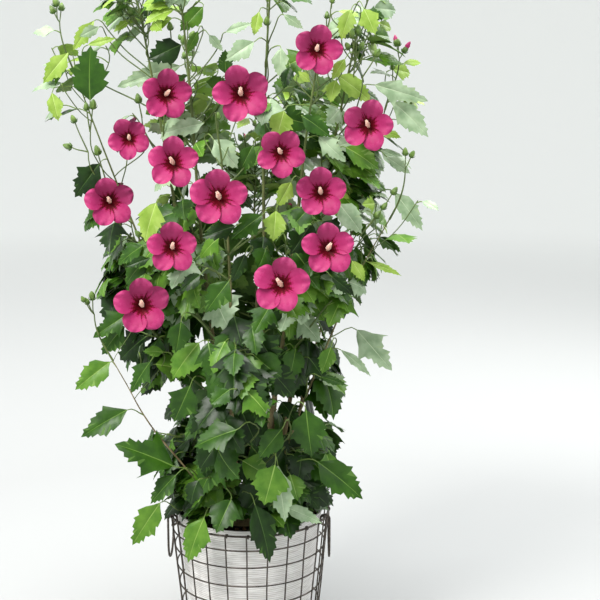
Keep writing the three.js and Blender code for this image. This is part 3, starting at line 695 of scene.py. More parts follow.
def read_masses():
    """Each mass of foliage: its stem, tier, centre and surface."""
    masses = []
    for node, name in nodes_of("foliage_"):
        stem, tier = name.rsplit("_", 1)
        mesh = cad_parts[node].data
        points = [vertex.co.copy() for vertex in mesh.vertices]
        surface = BVHTree.FromPolygons(points, [tuple(face.vertices) for face in mesh.polygons])
        low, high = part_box(node)
        masses.append({
            "node": node, "stem": stem, "tier": tier, "surface": surface,
            "centre": np.array((low + high) / 2), "low": np.array(low), "high": np.array(high),
        })
    return masses


def surface_point(mass, way):
    """Where a ray from inside the mass leaves it for good."""
    far = mass["centre"] + unit(way) * 0.4
    hit = mass["surface"].ray_cast(Vector(far), Vector(-unit(way)))
    return np.array(hit[0]) if hit[0] is not None else mass["centre"]


STEMS = read_stems()
MASSES = read_masses()
SOIL_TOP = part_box("soil")[1].z
RIM_RADIUS = (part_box("wire_basket")[1].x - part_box("wire_basket")[0].x) / 2
RIM_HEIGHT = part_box("wire_basket")[1].z
# The space that the drop handles swing through: nearest and furthest x, half its y, and its top.
HANDLE_LOW, HANDLE_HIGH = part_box("right_handle")
HANDLE_ZONE = (
    HANDLE_LOW.x - HANDLE_ROOM,
    HANDLE_HIGH.x + (HANDLE_HIGH.z - HANDLE_LOW.z),
    HANDLE_HIGH.y + HANDLE_ROOM,
    HANDLE_HIGH.z + HANDLE_ROOM,
)


# Leaves.

# Each row runs from the midrib out to a point of the margin, as a leaf's veins do. It gives where it
# starts along the midrib, then the margin's point along and across, as shares of the blade's length.
# From the fourth row on, every other row ends in the tip of a tooth.
MARGINS = {
    "plain": (
        (0.00, 0.00, 0.012), (0.02, 0.09, 0.135), (0.05, 0.22, 0.285), (0.10, 0.385, 0.410),
        (0.18, 0.422, 0.342), (0.24, 0.540, 0.378), (0.32, 0.556, 0.292), (0.38, 0.668, 0.308),
        (0.47, 0.680, 0.222), (0.53, 0.783, 0.226), (0.62, 0.790, 0.146), (0.69, 0.882, 0.143),
        (0.80, 0.895, 0.067), (1.00, 1.00, 0.0),
    ),
    "lobed": (
        (0.00, 0.00, 0.012), (0.02, 0.09, 0.125), (0.05, 0.24, 0.275), (0.09, 0.455, 0.475),
        (0.16, 0.428, 0.355), (0.22, 0.465, 0.258), (0.30, 0.562, 0.290), (0.38, 0.582, 0.216),
        (0.45, 0.690, 0.248), (0.53, 0.705, 0.172), (0.60, 0.800, 0.187), (0.70, 0.816, 0.110),
        (0.78, 0.893, 0.109), (1.00, 1.00, 0.0),
    ),
    "young": (
        (0.00, 0.00, 0.010), (0.05, 0.13, 0.110), (0.12, 0.28, 0.210), (0.20, 0.43, 0.270),
        (0.27, 0.455, 0.235), (0.35, 0.570, 0.248), (0.42, 0.588, 0.200), (0.50, 0.690, 0.203),
        (0.57, 0.705, 0.150), (0.65, 0.800, 0.145), (0.72, 0.818, 0.095), (0.80, 0.895, 0.076),
        (0.87, 0.910, 0.040), (1.00, 1.00, 0.0),
    ),
}
RIB_HALF_WIDTH = 0.014
# Shares of the way from the rib to the margin.
BLADE_COLUMNS = (0.0, 0.55, 1.0)
# How far every other row of the blade sinks, and how far the rows between rise.
BLADE_SINK = -0.010
BLADE_SWELL = 0.008
LEAF_THICKNESS = 0.008
UPPER_SIDE, UNDERSIDE, VEIN = range(3)
# A leaf's teeth are uneven in a way that its place sets, by these turns a metre.
LEAF_UNEVEN_SPANS = np.array([311.0, 173.0, 97.0])
# How leaves that the seeded rule grows are shaped: shares of lobed leaves and of narrow ones among the
# young, then the ranges of width, twist, fold along the midrib and curl. Last, how every edge ripples.
LOBED_SHARE = 0.35
NARROW_SHARE = 0.7
LEAF_BREADTHS = (0.95, 1.2)
LEAF_TWISTS = (-0.4, 0.4)
LEAF_FOLDS = (0.04, 0.26)
LEAF_CURLS = (0.2, 0.8)
LEAF_RIPPLES = (0.03, 0.10)
# The fold and curl of the leaves that stand out in the photograph.
FEATURE_BEND = {"fold": 0.14, "curl": 0.40}


def leaf_template(margin):
    """A flat leaf of length 1 along x: its points as (along, across, height), faces and slots.

    Both halves share the midrib. The underside shares the margin, so that a leaf is closed."""
    points = []
    index = {}
    faces = []
    slots = []
    last = len(margin) - 1
    edge = len(BLADE_COLUMNS) - 1

    def point(key, *place):
        index[key] = len(points)
        points.append(place)

    def face(corners, side, slot):
        corners = [corner for i, corner in enumerate(corners) if corner not in corners[:i]]
        if len(corners) > 2:
            faces.append(tuple(corners if side > 0 else corners[::-1]))
            slots.append(slot)

    def half_row(side, row):
        return [index[(side, row, column)] for column in range(edge + 1)]

    for row, (start, along, across) in enumerate(margin):
        vein = BLADE_SINK if row % 2 else BLADE_SWELL
        rib = RIB_HALF_WIDTH * (1 - 0.75 * start)
        point(("top", row), start, 0.0, -0.004)
        point(("bottom", row), start, 0.0, -LEAF_THICKNESS - 0.012 * (1 - start))
        for side in (-1, 1):
            for column, share in enumerate(BLADE_COLUMNS):
                if row == last:
                    index[(side, row, column)] = index[("top", row)]
                    continue
                x = start + (along - start) * share
                y = rib + (max(across, rib) - rib) * share
                lift = vein * math.sin(math.pi * share) * min(1.0, across * 5)
                point((side, row, column), x, side * y, lift)
    for row in range(last):
        for side in (-1, 1):
            here = half_row(side, row)
            ahead = half_row(side, row + 1)
            face((index[("top", row)], index[("top", row + 1)], ahead[0], here[0]), -side, VEIN)
            for column in range(edge):
                corners = (here[column], ahead[column], ahead[column + 1], here[column + 1])
                face(corners, -side, UPPER_SIDE)
            corners = (index[("bottom", row)], index[("bottom", row + 1)], ahead[edge], here[edge])
            face(corners, side, UNDERSIDE)
    for side in (-1, 1):
        face((index[("top", 0)], *half_row(side, 0), index[("bottom", 0)]), side, VEIN)
    return np.array(points), faces, slots


LEAF_TEMPLATES = {shape: leaf_template(margin) for shape, margin in MARGINS.items()}
LEAF_WIDTHS = {shape: 2 * float(made[0][:, 1].max()) for shape, made in LEAF_TEMPLATES.items()}


def leaf_age_and_sheen(leaf, rand):
    """Which leaf colour a leaf takes: at its tier's share the pale painted sheen, otherwise by its youth."""
    # Pale leaves are painted sheen, dealt out whatever their youth.
    if rand.random() < PAINTED_SHEEN_SHARES.get(leaf["tier"], 0.0):
        return "pale"
    youth = leaf["youth"] + rand.uniform(-0.14, 0.14)
    usual, other, share = next(step[1:] for step in AGE_AND_SHEEN_STEPS if youth < step[0])
    return usual if rand.random() < share else other


def dress_leaf(leaf, rand):
    """Settles a leaf's age or pale painted sheen, shape and bend. Those that stand out have an age or sheen,
    shape and width already.
    """
    if "age" in leaf:
        leaf.update(FEATURE_BEND)
    else:
        leaf["age"] = leaf_age_and_sheen(leaf, rand)
        leaf["shape"] = "lobed" if rand.random() < LOBED_SHARE else "plain"
        if leaf["age"] == "young" and rand.random() < NARROW_SHARE:
            leaf["shape"] = "young"
        leaf["broad"] = rand.uniform(*LEAF_BREADTHS)
        leaf["face"] = turned_about(leaf["face"], leaf["way"], rand.uniform(*LEAF_TWISTS))
        leaf["fold"] = rand.uniform(*LEAF_FOLDS)
        leaf["curl"] = rand.uniform(*LEAF_CURLS)
    leaf["ripple"] = rand.uniform(*LEAF_RIPPLES)


def place_leaf(pile, leaf):
    """Adds a leaf's blade from its base along its way, with its upper side towards its face."""
    template, faces, slots = LEAF_TEMPLATES[leaf["shape"]]
    base = leaf["base"]
    curl = leaf["curl"]
    ahead = unit(leaf["way"])
    side = unit(np.cross(leaf["face"], ahead))
    normal = np.cross(ahead, side)
    along = template[:, 0]
    across = template[:, 1] * leaf["broad"]
    start = float(base @ LEAF_UNEVEN_SPANS) + np.sign(across) * 2.1
    along = along + 0.10 * np.abs(across) * np.sin(along * 31 + start)
    across = across * (1 + 0.14 * np.sin(along * 21 + 1.7 * start))
    spread = across * math.cos(leaf["fold"])
    lift = np.abs(across) * math.sin(leaf["fold"]) + template[:, 2]
    lift = lift + leaf["ripple"] * np.sin(along * 9 + np.sign(across) * 1.3) * np.abs(across)
    lift = lift - 0.9 * curl * across ** 2
    bend = curl * along
    x = np.sin(bend) / curl + lift * np.sin(bend)
    z = -(1 - np.cos(bend)) / curl + lift * np.cos(bend)
    points = base + leaf["size"] * (x[:, None] * ahead + spread[:, None] * side + z[:, None] * normal)
    pile.add(points, faces, slots)


# Blooms and buds.

PETAL_COLUMNS = 14
PETAL_ROWS = 14
# A petal's length and thickness in bloom diameters, and its half widths at even steps from the bloom's
# middle out, as shares of its length.
PETAL_LENGTH = 0.49
PETAL_THICKNESS = 0.012
PETAL_HALF_WIDTHS = (0.08, 0.145, 0.22, 0.30, 0.37, 0.412, 0.428, 0.424, 0.400, 0.352, 0.275)
# How the petals of a bloom differ: in turn, reach, breadth, openness and lean to the side.
PETALS = 5
PETAL_TURN = 0.07
PETAL_REACHES = (0.96, 1.04)
PETAL_BREADTHS = (0.96, 1.05)
PETAL_OPENNESS = (0.90, 1.12)
PETAL_LEANS = (-0.03, 0.03)
# The row of faces at which each zone of colour ends, from the eye out, and how many rows further out
# the zones run along each column.
PETAL_ZONE_ENDS = (3, 4, 5, 6, 10, PETAL_ROWS)
PETAL_STREAKS = (1, 0, 0, 1, 0, 0, 1, 1, 0, 0, 1, 0, 0, 1)
# The petal zone of a bud's tip.
BUD_TIP_SLOT = 4
# In bloom diameters: how far the petals meet behind the bloom's centre, how long the column is, its
# radii at foot and tip, how many balls stand along it and at its tip, their radii, and the calyx's length.
BLOOM_HOLLOW = 0.13
COLUMN_LENGTH = 0.21
COLUMN_RADII = (0.034, 0.016)
ANTHERS = 40
STIGMAS = 5
ANTHER_RADIUS = 0.011
STIGMA_RADIUS = 0.012
CALYX_LENGTH = 0.20
# A calyx's half width, as a share of its length.
CALYX_HALF_WIDTH = 0.3844
# The bracts round a calyx and a bud, in lengths of it: how far up they start, the range of how far up
# and how far out they end, how far they flare there, and their radii.
BRACTS = 7
CALYX_BRACTS = (0.04, (0.45, 0.7), 0.62, 0.3, (0.05, 0.06, 0.045, 0.008))
BUD_BRACTS = (0.0, (0.35, 0.6), 0.44, 0.0, (0.040, 0.050, 0.040, 0.008))


def petal_template():
    """A petal from the bloom's middle out along x, in bloom diameters, with its zones as slots."""
    marks = np.linspace(0, 1, len(PETAL_HALF_WIDTHS))

    def shape(row, column, is_back):
        r = row / PETAL_ROWS
        c = 2 * column / PETAL_COLUMNS - 1
        along = r * (1 - 0.11 * c * c * r * r)
        across = c * float(np.interp(r, marks, PETAL_HALF_WIDTHS))
        vein = 0.006 * math.cos(c * math.pi * 6) * math.sin(math.pi * r)
        cup = 0.62 * (1 - (1 - r) ** 1.5) - 0.16 * r ** 3
        dish = 0.13 * c * c * math.sin(math.pi * r)
        ruffle = 0.032 * math.sin(c * 8) * r ** 3
        twist = 0.055 * c * r
        lift = cup + dish + ruffle + vein + twist
        if is_back:
            lift -= PETAL_THICKNESS * math.sin(math.pi * (0.1 + 0.8 * r)) / PETAL_LENGTH
        return along * PETAL_LENGTH, across * PETAL_LENGTH, lift * PETAL_LENGTH

    grid = [(row, column) for row in range(PETAL_ROWS + 1) for column in range(PETAL_COLUMNS + 1)]
    points = [shape(*place, False) for place in grid]
    front = {place: i for i, place in enumerate(grid)}
    rear = dict(front)
    for row, column in grid:
        if 0 < row < PETAL_ROWS and 0 < column < PETAL_COLUMNS:
            rear[row, column] = len(points)
            points.append(shape(row, column, True))
    faces = []
    slots = []
    for row, column in grid:
        if row < PETAL_ROWS and column < PETAL_COLUMNS:
            corners = ((row, column), (row + 1, column), (row + 1, column + 1), (row, column + 1))
            faces.append(tuple(front[corner] for corner in corners[::-1]))
            ragged = row - PETAL_STREAKS[column]
            slots.append(next(zone for zone, end in enumerate(PETAL_ZONE_ENDS) if ragged < end))
            faces.append(tuple(rear[corner] for corner in corners))
            slots.append(len(PETAL_ZONE_ENDS))
    return np.array(points), faces, slots


def ball_template(rings=4, sides=6):
    """A small round ball of radius 1."""
    turns = [math.pi * ring / rings for ring in range(1, rings)]
    points = [-UP, *revolved([(math.sin(turn), -math.cos(turn)) for turn in turns], sides), UP]
    top = 1 + (rings - 2) * sides
    faces = ring_faces(rings - 2, sides, 1)
    for k in range(sides):
        n = (k + 1) % sides
        faces += [(0, 1 + n, 1 + k), (top + k, top + n, top + sides)]
    return np.array(points), faces


PETAL = petal_template()
BALL, BALL_FACES = ball_template()


def place_bloom(petals, columns, greens, bloom, rand):
    """Adds a bloom with its petals, column and calyx, and returns where its stalk joins it."""
    centre, facing, size, first_turn, lean_right = bloom
    up = unit(UP - facing * float(np.dot(UP, facing)))
    right = np.cross(up, facing)
    middle = centre - facing * BLOOM_HOLLOW * size
    points, faces, slots = PETAL
    # The darker set of petal slots: painted shade for the petals that point up.
    painted_shade_slots = [slot + len(PETAL_TONES) for slot in slots]
    for k in range(PETALS):
        turn = first_turn + k * 2 * math.pi / PETALS + rand.uniform(-PETAL_TURN, PETAL_TURN)
        ahead = compass(turn, up, right)
        side = np.cross(facing, ahead)
        reach = rand.uniform(*PETAL_REACHES)
        broad = rand.uniform(*PETAL_BREADTHS)
        lift = points[:, 2] * rand.uniform(*PETAL_OPENNESS) + rand.uniform(*PETAL_LEANS) * points[:, 1]
        wave = 0.010 * np.sin(points[:, 1] * 16 + rand.uniform(0, 6)) * (points[:, 0] / PETAL_LENGTH) ** 2
        placed = middle + size * (
            (points[:, 0] * reach)[:, None] * ahead + (points[:, 1] * broad)[:, None] * side
            + (lift + wave)[:, None] * facing
        )
        # Petals that point up take the darker set: painted shade at the top of the bloom.
        is_painted_shade = ahead[2] > 0.45 + rand.uniform(-0.3, 0.3)
        petals.add(placed, faces, painted_shade_slots if is_painted_shade else slots)
    lean = unit(facing + 0.35 * up + 0.45 * lean_right * right)
    root = middle + facing * 0.01 * size
    tip = root + lean * COLUMN_LENGTH * size
    columns.add(*tube(arch(root, facing, tip, lean, 6), np.linspace(*COLUMN_RADII, 7) * size, 8))
    for k in range(ANTHERS):
        share = 0.25 + 0.68 * k / ANTHERS
        out = compass(k * ANTHER_TURN, up, right)
        out = unit(out - lean * float(np.dot(out, lean)))
        spot = root + (tip - root) * share + out * (0.040 - 0.024 * share + 0.010 * rand.random()) * size
        columns.add(BALL * ANTHER_RADIUS * size + spot, BALL_FACES, 1)
    for k in range(STIGMAS):
        end = tip + lean * 0.034 * size + compass(k * 2 * math.pi / STIGMAS, up, right) * 0.020 * size
        branch = np.array([tip, (tip + end) / 2 + lean * 0.01 * size, end])
        columns.add(*tube(branch, 0.007 * size, 5), 1)
        columns.add(BALL * STIGMA_RADIUS * size + end, BALL_FACES, 1)
    return place_calyx(greens, middle + facing * 0.012 * size, facing, CALYX_LENGTH * size, rand)


def rings_along(foot, facing, ways, rows, sides, form):
    """Rings of points round an axis. A form gives each one's turn, rise and reach."""
    points = []
    for row in range(rows + 1):
        for k in range(sides):
            turn, rise, reach = form(row / rows, 2 * math.pi * k / sides)
            points.append(foot + facing * rise + compass(turn, *ways) * reach)
    return points


def place_bracts(greens, foot, facing, ways, length, form, rand):
    """Adds the ring of narrow bracts round a calyx or a bud."""
    root, rise, reach, flare, radii = form
    for k in range(BRACTS):
        out = compass(2 * math.pi * (k + rand.uniform(-0.2, 0.2)) / BRACTS, *ways)
        end = foot + facing * length * rand.uniform(*rise) + out * length * reach
        line = arch(foot + facing * root * length, out, end, unit(facing + flare * out), 3)
        greens.add(*tube(line, np.array(radii) * length, 4), 1)


def place_calyx(greens, mouth, facing, length, rand):
    """Adds a calyx cup with five sepals and a ring of bracts. Returns the point its stalk joins."""
    ways = across_ways(facing, (0.01, 0.02, 0.0))
    foot = mouth - facing * length
    sides = 20
    rows = 5

    def form(r, turn):
        lobe = 0.5 + 0.5 * math.cos(5 * turn)
        tall = r * (0.62 + 0.42 * lobe * r)
        wide = (0.16 + 0.84 * math.sin(min(r * 1.15, 1) * math.pi / 2)) * CALYX_HALF_WIDTH * length
        return turn, tall * length, wide * (1 + (0.10 + 0.25 * lobe) * max(0, r - 0.7))

    points = rings_along(foot, facing, ways, rows, sides, form)
    points.append(foot + facing * 0.45 * length)
    top = rows * sides
    faces = ring_faces(rows, sides, turned=True) + [tuple(range(sides))]
    faces += [(top + k, top + sides, top + (k + 1) % sides) for k in range(sides)]
    greens.add(points, faces)
    place_bracts(greens, foot, facing, ways, length, CALYX_BRACTS, rand)
    return foot


def place_bud(greens, petals, foot, facing, length, is_opening, rand):
    """Adds a bud: a ribbed green ovoid in its bracts, with petal colour at the tip if it is opening."""
    ways = across_ways(facing, (0.03, 0.01, 0.0))
    sides = 10
    rows = 6

    def ovoid(r, turn):
        turn += 0.5 * r
        swell = math.sin(math.pi * (0.06 + 0.90 * r ** 0.85)) ** 0.75
        ridge = 1 + 0.09 * math.cos(5 * turn - 2.5 * r)
        return turn, r * length, 0.32 * length * swell * ridge

    def twisted_tip(r, turn):
        turn += 1.6 * r
        ridge = 1 + 0.12 * math.cos(5 * turn)
        return turn, r * length * 0.95, 0.27 * length * math.sin(math.pi * (0.25 + 0.70 * r)) * ridge

    faces = closed_skin(rows, sides, turned=True)
    greens.add(rings_along(foot, facing, ways, rows, sides, ovoid), faces)
    place_bracts(greens, foot, facing, ways, length, BUD_BRACTS, rand)
    if is_opening:
        start = foot + facing * length * 0.55
        petals.add(rings_along(start, facing, ways, rows, sides, twisted_tip), faces, BUD_TIP_SLOT)


# Growth.

class Shrub:
    """Keeps the shoots, leaves, blooms and buds that grow, and what leaves mustn't hide."""

    def __init__(self):
        self.shoots = []
        self.leaves = []
        self.blooms = []
        self.buds = []
        self.feature_buds = []
        self.guards = np.zeros((0, 6))

    def add_shoot(self, line, *radii):
        """Adds a shoot whose radius runs evenly from its foot to its tip."""
        self.shoots.append((line, np.linspace(radii[0], radii[-1], len(line))))

    def shoot_line(self, stem, target, drop, arrive, kind):
        """A shoot that leaves the stem below the target and arrives at it: its line and radii."""
        start, rise, radius = stem_point(stem, target[2] - drop)
        flat = target - start
        flat[2] = 0
        line = arch(start, unit(unit(flat) + rise * 0.9), target, arrive, SHOOT_STEPS)
        reach = float(np.linalg.norm(target - start))
        sway = unit(np.cross(unit(target - start), UP))
        wave = np.sin(np.linspace(0, 1, len(line)) * math.pi * max(2.0, reach / 0.03)) * 0.0012
        foot = min(radius * 0.7, SHOOT_FEET[kind] + reach * 0.006)
        return line + wave[:, None] * sway, np.linspace(foot, SHOOT_TIP, len(line))

    def grow_shoot(self, stem, target, drop, arrive, kind):
        """Adds a shoot, and returns its line."""
        self.shoots.append(self.shoot_line(stem, target, drop, arrive, kind))
        return self.shoots[-1][0]

    def guard(self, start, end, half, place_back):
        """Keeps other leaves from standing in front of what the photograph shows between two pixels."""
        self.guards = np.vstack([self.guards, (*start, *end, half, place_back)])

    def hides_a_guarded_place(self, point, margin, count=None):
        """True where a leaf at the point would stand in front of something guarded."""
        guards = self.guards[:count]
        pixel, _ = pixel_of(point)
        start = guards[:, 0:2]
        along = guards[:, 2:4] - start
        share = ((pixel - start) * along).sum(axis=1) / np.maximum(1e-6, (along ** 2).sum(axis=1))
        near = start + along * np.clip(share, 0, 1)[:, None]
        gap = np.linalg.norm(pixel - near, axis=1)
        return bool(np.any((gap < guards[:, 4] + margin) & (point[1] < guards[:, 5] + GUARD_DEPTH)))

    def add_clear_leaf(self, leaf, crown_only=True):
        """Adds a leaf if it keeps clear of all that leaves keep clear of."""
        if keeps_clear(self, leaf, crown_only):
            self.leaves.append(leaf)


def stem_point(stem, height):
    """The stem's point at a height, its way up there and its radius."""
    line, radii = STEMS[stem]
    height = min(max(height, line[0][2] + 0.01), line[-1][2])
    spot = int(np.clip(np.searchsorted(line[:, 2], height), 1, len(line) - 1))
    return line[spot], unit(line[spot] - line[spot - 1]), radii[spot]


def nearest_stem(target, drop):
    """The stem that passes nearest to the point at some way below the target."""
    height = target[2] - drop
    gaps = {
        stem: float(np.linalg.norm((stem_point(stem, height)[0] - target)[:2]))
        for stem, (line, _) in STEMS.items() if height <= line[-1][2] + 0.02
    }
    return min(gaps, key=gaps.get) if gaps else "centre"


def outward_of(point):
    """The level way from the shrub's middle out through a point."""
    way = np.array([point[0], point[1], 0.0])
    return unit(way) if np.linalg.norm(way) > 0.02 else np.array([0.0, -1.0, 0.0])


def walk(line, first, gap, rand):
    """Points spaced along a line from a share of its length on, with the way there and the share."""
    steps = np.linalg.norm(np.diff(line, axis=0), axis=1)
    marks = np.concatenate([[0], np.cumsum(steps)])
    total = marks[-1]
    spot = first * total + rand.uniform(0, gap * 0.5)
    while spot < total:
        i = int(np.clip(np.searchsorted(marks, spot), 1, len(line) - 1))
        t = (spot - marks[i - 1]) / max(1e-9, marks[i] - marks[i - 1])
        yield line[i - 1] + (line[i] - line[i - 1]) * t, unit(line[i] - line[i - 1]), spot / total
        spot += gap * rand.uniform(*GAP_FACTORS)


def leaf_on(spot, shoot_way, turn, size, tier, youth, rand):
    """One leaf on its petiole. The blade hangs outwards, more so low down, and turns to the light."""
    out = outward_of(spot)
    side = unit(np.cross(shoot_way, UP + np.array([0.01, 0.0, 0.0])))
    around = turned_about(side, unit(shoot_way), turn)
    stray = np.array([rand.uniform(-0.4, 0.4), rand.uniform(-0.4, 0.4), 0.0])
    flat = unit(np.array([around[0], around[1], 0.0]) * 0.9 + out * 0.7 + stray)
    petiole = size * rand.uniform(*PETIOLE_SHARES)
    leave = unit(flat + unit(shoot_way) * 0.7)
    hang = TIERS[tier]["hang"] * rand.uniform(*HANG_FACTORS) - youth * 0.5
    lean = np.array([rand.uniform(-0.35, 0.35), rand.uniform(-0.35, 0.35), 0.0])
    lit = float(np.clip(0.6 - spot[1] / 0.2, 0.0, 1.0))
    return {
        "spot": spot, "leave": leave, "base": spot + unit(leave + flat * 0.6) * petiole,
        "way": unit(flat * math.cos(hang) - UP * math.sin(hang)),
        "face": unit(UP * 0.70 + out * (0.95 - 0.4 * lit) + LIGHT_WAY * lit + lean),
        "size": size, "youth": youth, "tier": tier,
    }


def add_leafy_shoot(shrub, line, radii, leaves):
    """Keeps a shoot only where it has leaves, and cuts it off past the last one. True if it is whole."""
    kept = [(share, leaf) for share, leaf in leaves if keeps_clear(shrub, leaf)]
    if len(kept) < 2:
        return False
    last = max(share for share, _ in kept)
    count = min(len(line), int(math.ceil(last * (len(line) - 1))) + 1)
    if any(shrub.hides_a_guarded_place(point, SHOOT_MARGIN, len(FRONT_BLOOMS)) for point in line[:count]):
        return False
    shrub.leaves += [leaf for _, leaf in kept]
    shrub.shoots.append((line[:count], radii[:count]))
    return count == len(line)


def grow_mass(shrub, mass, rand):
    """Shoots from the mass's own stem to points all over it, with leaves along them."""
    tier = TIERS[mass["tier"]]
    count = tier["shoots"]
    spin = rand.uniform(0, 2 * math.pi)
    for k in range(count):
        up = 1 - 2 * (k + 0.5) / count
        way = level_way(spin + k * SPIRAL_TURN) * math.sqrt(1 - up * up) + UP * up
        edge = surface_point(mass, way)
        target = mass["centre"] + (edge - mass["centre"]) * rand.uniform(*tier["reach"])
        start, _, _ = stem_point(mass["stem"], target[2])
        away = float(np.linalg.norm((target - start)[:2]))
        drop = away * rand.uniform(*DROP_SHARES) + rand.uniform(*DROP_EXTRAS)
        if mass["tier"] in ("skirt", "waist"):
            drop = away * rand.uniform(*LOW_DROP_SHARES)
        arrive = unit(outward_of(target) + UP * tier["rise"] * rand.uniform(0.6, 1.3))
        line, radii = shrub.shoot_line(mass["stem"], target, drop, arrive, "leaves")
        leaves = []
        for place, (spot, shoot_way, share) in enumerate(walk(line, 0.22, tier["gap"], rand)):
            turn = place * LEAF_TURN + rand.uniform(-0.4, 0.4)
            shrink = 1 - 0.45 * max(0.0, share - 0.6) / 0.4
            size = tier["leaf"] * shrink * rand.uniform(0.75, 1.20)
            youth = tier["young"] * (0.8 + 2.0 * max(0.0, share - 0.7)) + rand.uniform(-0.1, 0.1)
            youth = min(1.0, max(0.0, youth))
            leaves.append((share, leaf_on(spot, shoot_way, turn, size, mass["tier"], youth, rand)))
        has_bud = rand.random() < tier["buds"]
        buds = rand.randint(1, 2)
        if add_leafy_shoot(shrub, line, radii, leaves) and has_bud:
            shrub.buds.append((line[-1], unit(line[-1] - line[-2]), buds))


def grow_leaders(shrub, rand):
    """Leaves along each stem itself, and a leading shoot above its tip."""
    for stem, (line, _) in STEMS.items():
        for place, (spot, way, _) in enumerate(walk(line, 0.08, 0.030, rand)):
            tier = next(tier for height, tier in STEM_LEAF_TIERS if spot[2] < height)
            size = TIERS[tier]["leaf"] * rand.uniform(0.7, 1.0)
            youth = TIERS[tier]["young"] * 0.7
            shrub.add_clear_leaf(leaf_on(spot, way, place * LEAF_TURN, size, tier, youth, rand))
        mass = next(mass for mass in MASSES if mass["stem"] == stem and mass["tier"] == "tip")
        goal = surface_point(mass, unit(UP + outward_of(mass["centre"]) * 0.25)) - UP * 0.012
        shoot = arch(line[-1], unit(line[-1] - line[-3]), goal, UP, SHOOT_STEPS)
        shrub.add_shoot(shoot, SHOOT_FEET["leader"], SHOOT_TIP)
        for place, (spot, way, share) in enumerate(walk(shoot, 0.05, 0.020, rand)):
            size = TIERS["tip"]["leaf"] * (1.05 - 0.5 * share) * rand.uniform(0.85, 1.1)
            youth = min(1.0, 0.35 + 0.6 * share)
            shrub.add_clear_leaf(leaf_on(spot, way, place * LEAF_TURN, size, "tip", youth, rand))
        shrub.buds.append((shoot[-1], UP, 3))
        shrub.buds.append((shoot[SHOOT_STEPS // 2], UP, 1))


def grow_collar(shrub, rand):
    """Low leaves on long stalks from the stems' feet, spread over the compost and out over the rim."""
    for k in range(COLLAR_LEAVES):
        share = ((k + 0.5) / COLLAR_LEAVES) ** 0.6
        out = level_way(k * SPIRAL_TURN)
        base = out * (COLLAR_NEAR + COLLAR_SPREAD * share) + UP * rand.uniform(*COLLAR_HEIGHTS)
        spot, rise, _ = stem_point(nearest_stem(base, 0.0), base[2] - rand.uniform(0.0, 0.02))
        flat = unit(out + np.cross(UP, out) * rand.uniform(-0.8, 0.8))
        size = rand.uniform(*COLLAR_LENGTHS)
        drop = rand.uniform(0.0, base[2] - SOIL_TOP - 0.018)
        shrub.add_clear_leaf({
            "spot": spot, "leave": unit(flat + rise * 0.6), "base": base,
            "way": unit(flat * math.sqrt(max(0.0, size ** 2 - drop ** 2)) - UP * drop),
            "face": unit(UP + out * rand.uniform(0.1, 0.6)), "size": size, "youth": rand.uniform(0, 0.12),
            "tier": "skirt",
        }, crown_only=False)


def add_bloom(shrub, centre, facing, size, turn, lean, rand):
    """Notes a bloom, with the shoot that carries it from the nearest stem."""
    drop = rand.uniform(*BLOOM_DROPS)
    foot = centre - facing * size * BLOOM_SHOOT_END
    arrive = unit(facing * 0.8 + UP * 0.5)
    shrub.blooms.append((centre, facing, size, turn, lean))
    return shrub.grow_shoot(nearest_stem(foot, drop), foot, drop, arrive, "bloom")


def grow_features(shrub):
    """The leaves and buds that stand out in the photograph, each on a shoot from the nearest stem."""
    rand = random.Random(SEEDS["features"])
    for root, base, tip, width, base_back, tip_back, age, shape in FEATURE_LEAVES.values():
        spot = photo_point(*root, base_back + 0.010)
        start = photo_point(*base, base_back)
        end = photo_point(*tip, tip_back)
        length = float(np.linalg.norm(end - start))
        _, span = pixel_of(start)
        stem = nearest_stem(spot, 0.02)
        foot, _, _ = stem_point(stem, spot[2] - 0.010)
        away = float(np.linalg.norm((spot - foot)[:2]))
        if away < STALK_REACH:
            spot = foot
        leave = unit(start - spot + UP * 0.2 * away)
        tilt = np.array([rand.uniform(-0.5, 0.5), 0.0, rand.uniform(0.2, 0.7)])
        shrub.leaves.append({
            "spot": spot, "leave": leave, "base": start, "way": unit(end - start),
            "face": unit(unit(CAMERA_PLACE - start) + tilt), "size": length * 1.03, "age": age,
            "shape": shape, "broad": float(np.clip(width * span / (length * LEAF_WIDTHS[shape]), 0.45, 1.7)),
        })
        shrub.guard(base, tip, 0.42 * width, max(base_back, tip_back))
        if away >= STALK_REACH:
            shrub.grow_shoot(stem, spot, away * 0.8 + 0.02, unit(leave + UP * 0.2), "feature")
    for joint, buds, place_back in FEATURE_BUDS.values():
        spot = photo_point(*joint, place_back)
        stem = nearest_stem(spot, 0.05)
        foot, _, _ = stem_point(stem, spot[2])
        away = float(np.linalg.norm((spot - foot)[:2]))
        shrub.grow_shoot(stem, spot, away * 1.2 + 0.03, UP, "buds")
        for bud in buds:
            shrub.feature_buds.append((spot, photo_point(*bud, place_back + rand.uniform(-0.02, 0.01))))


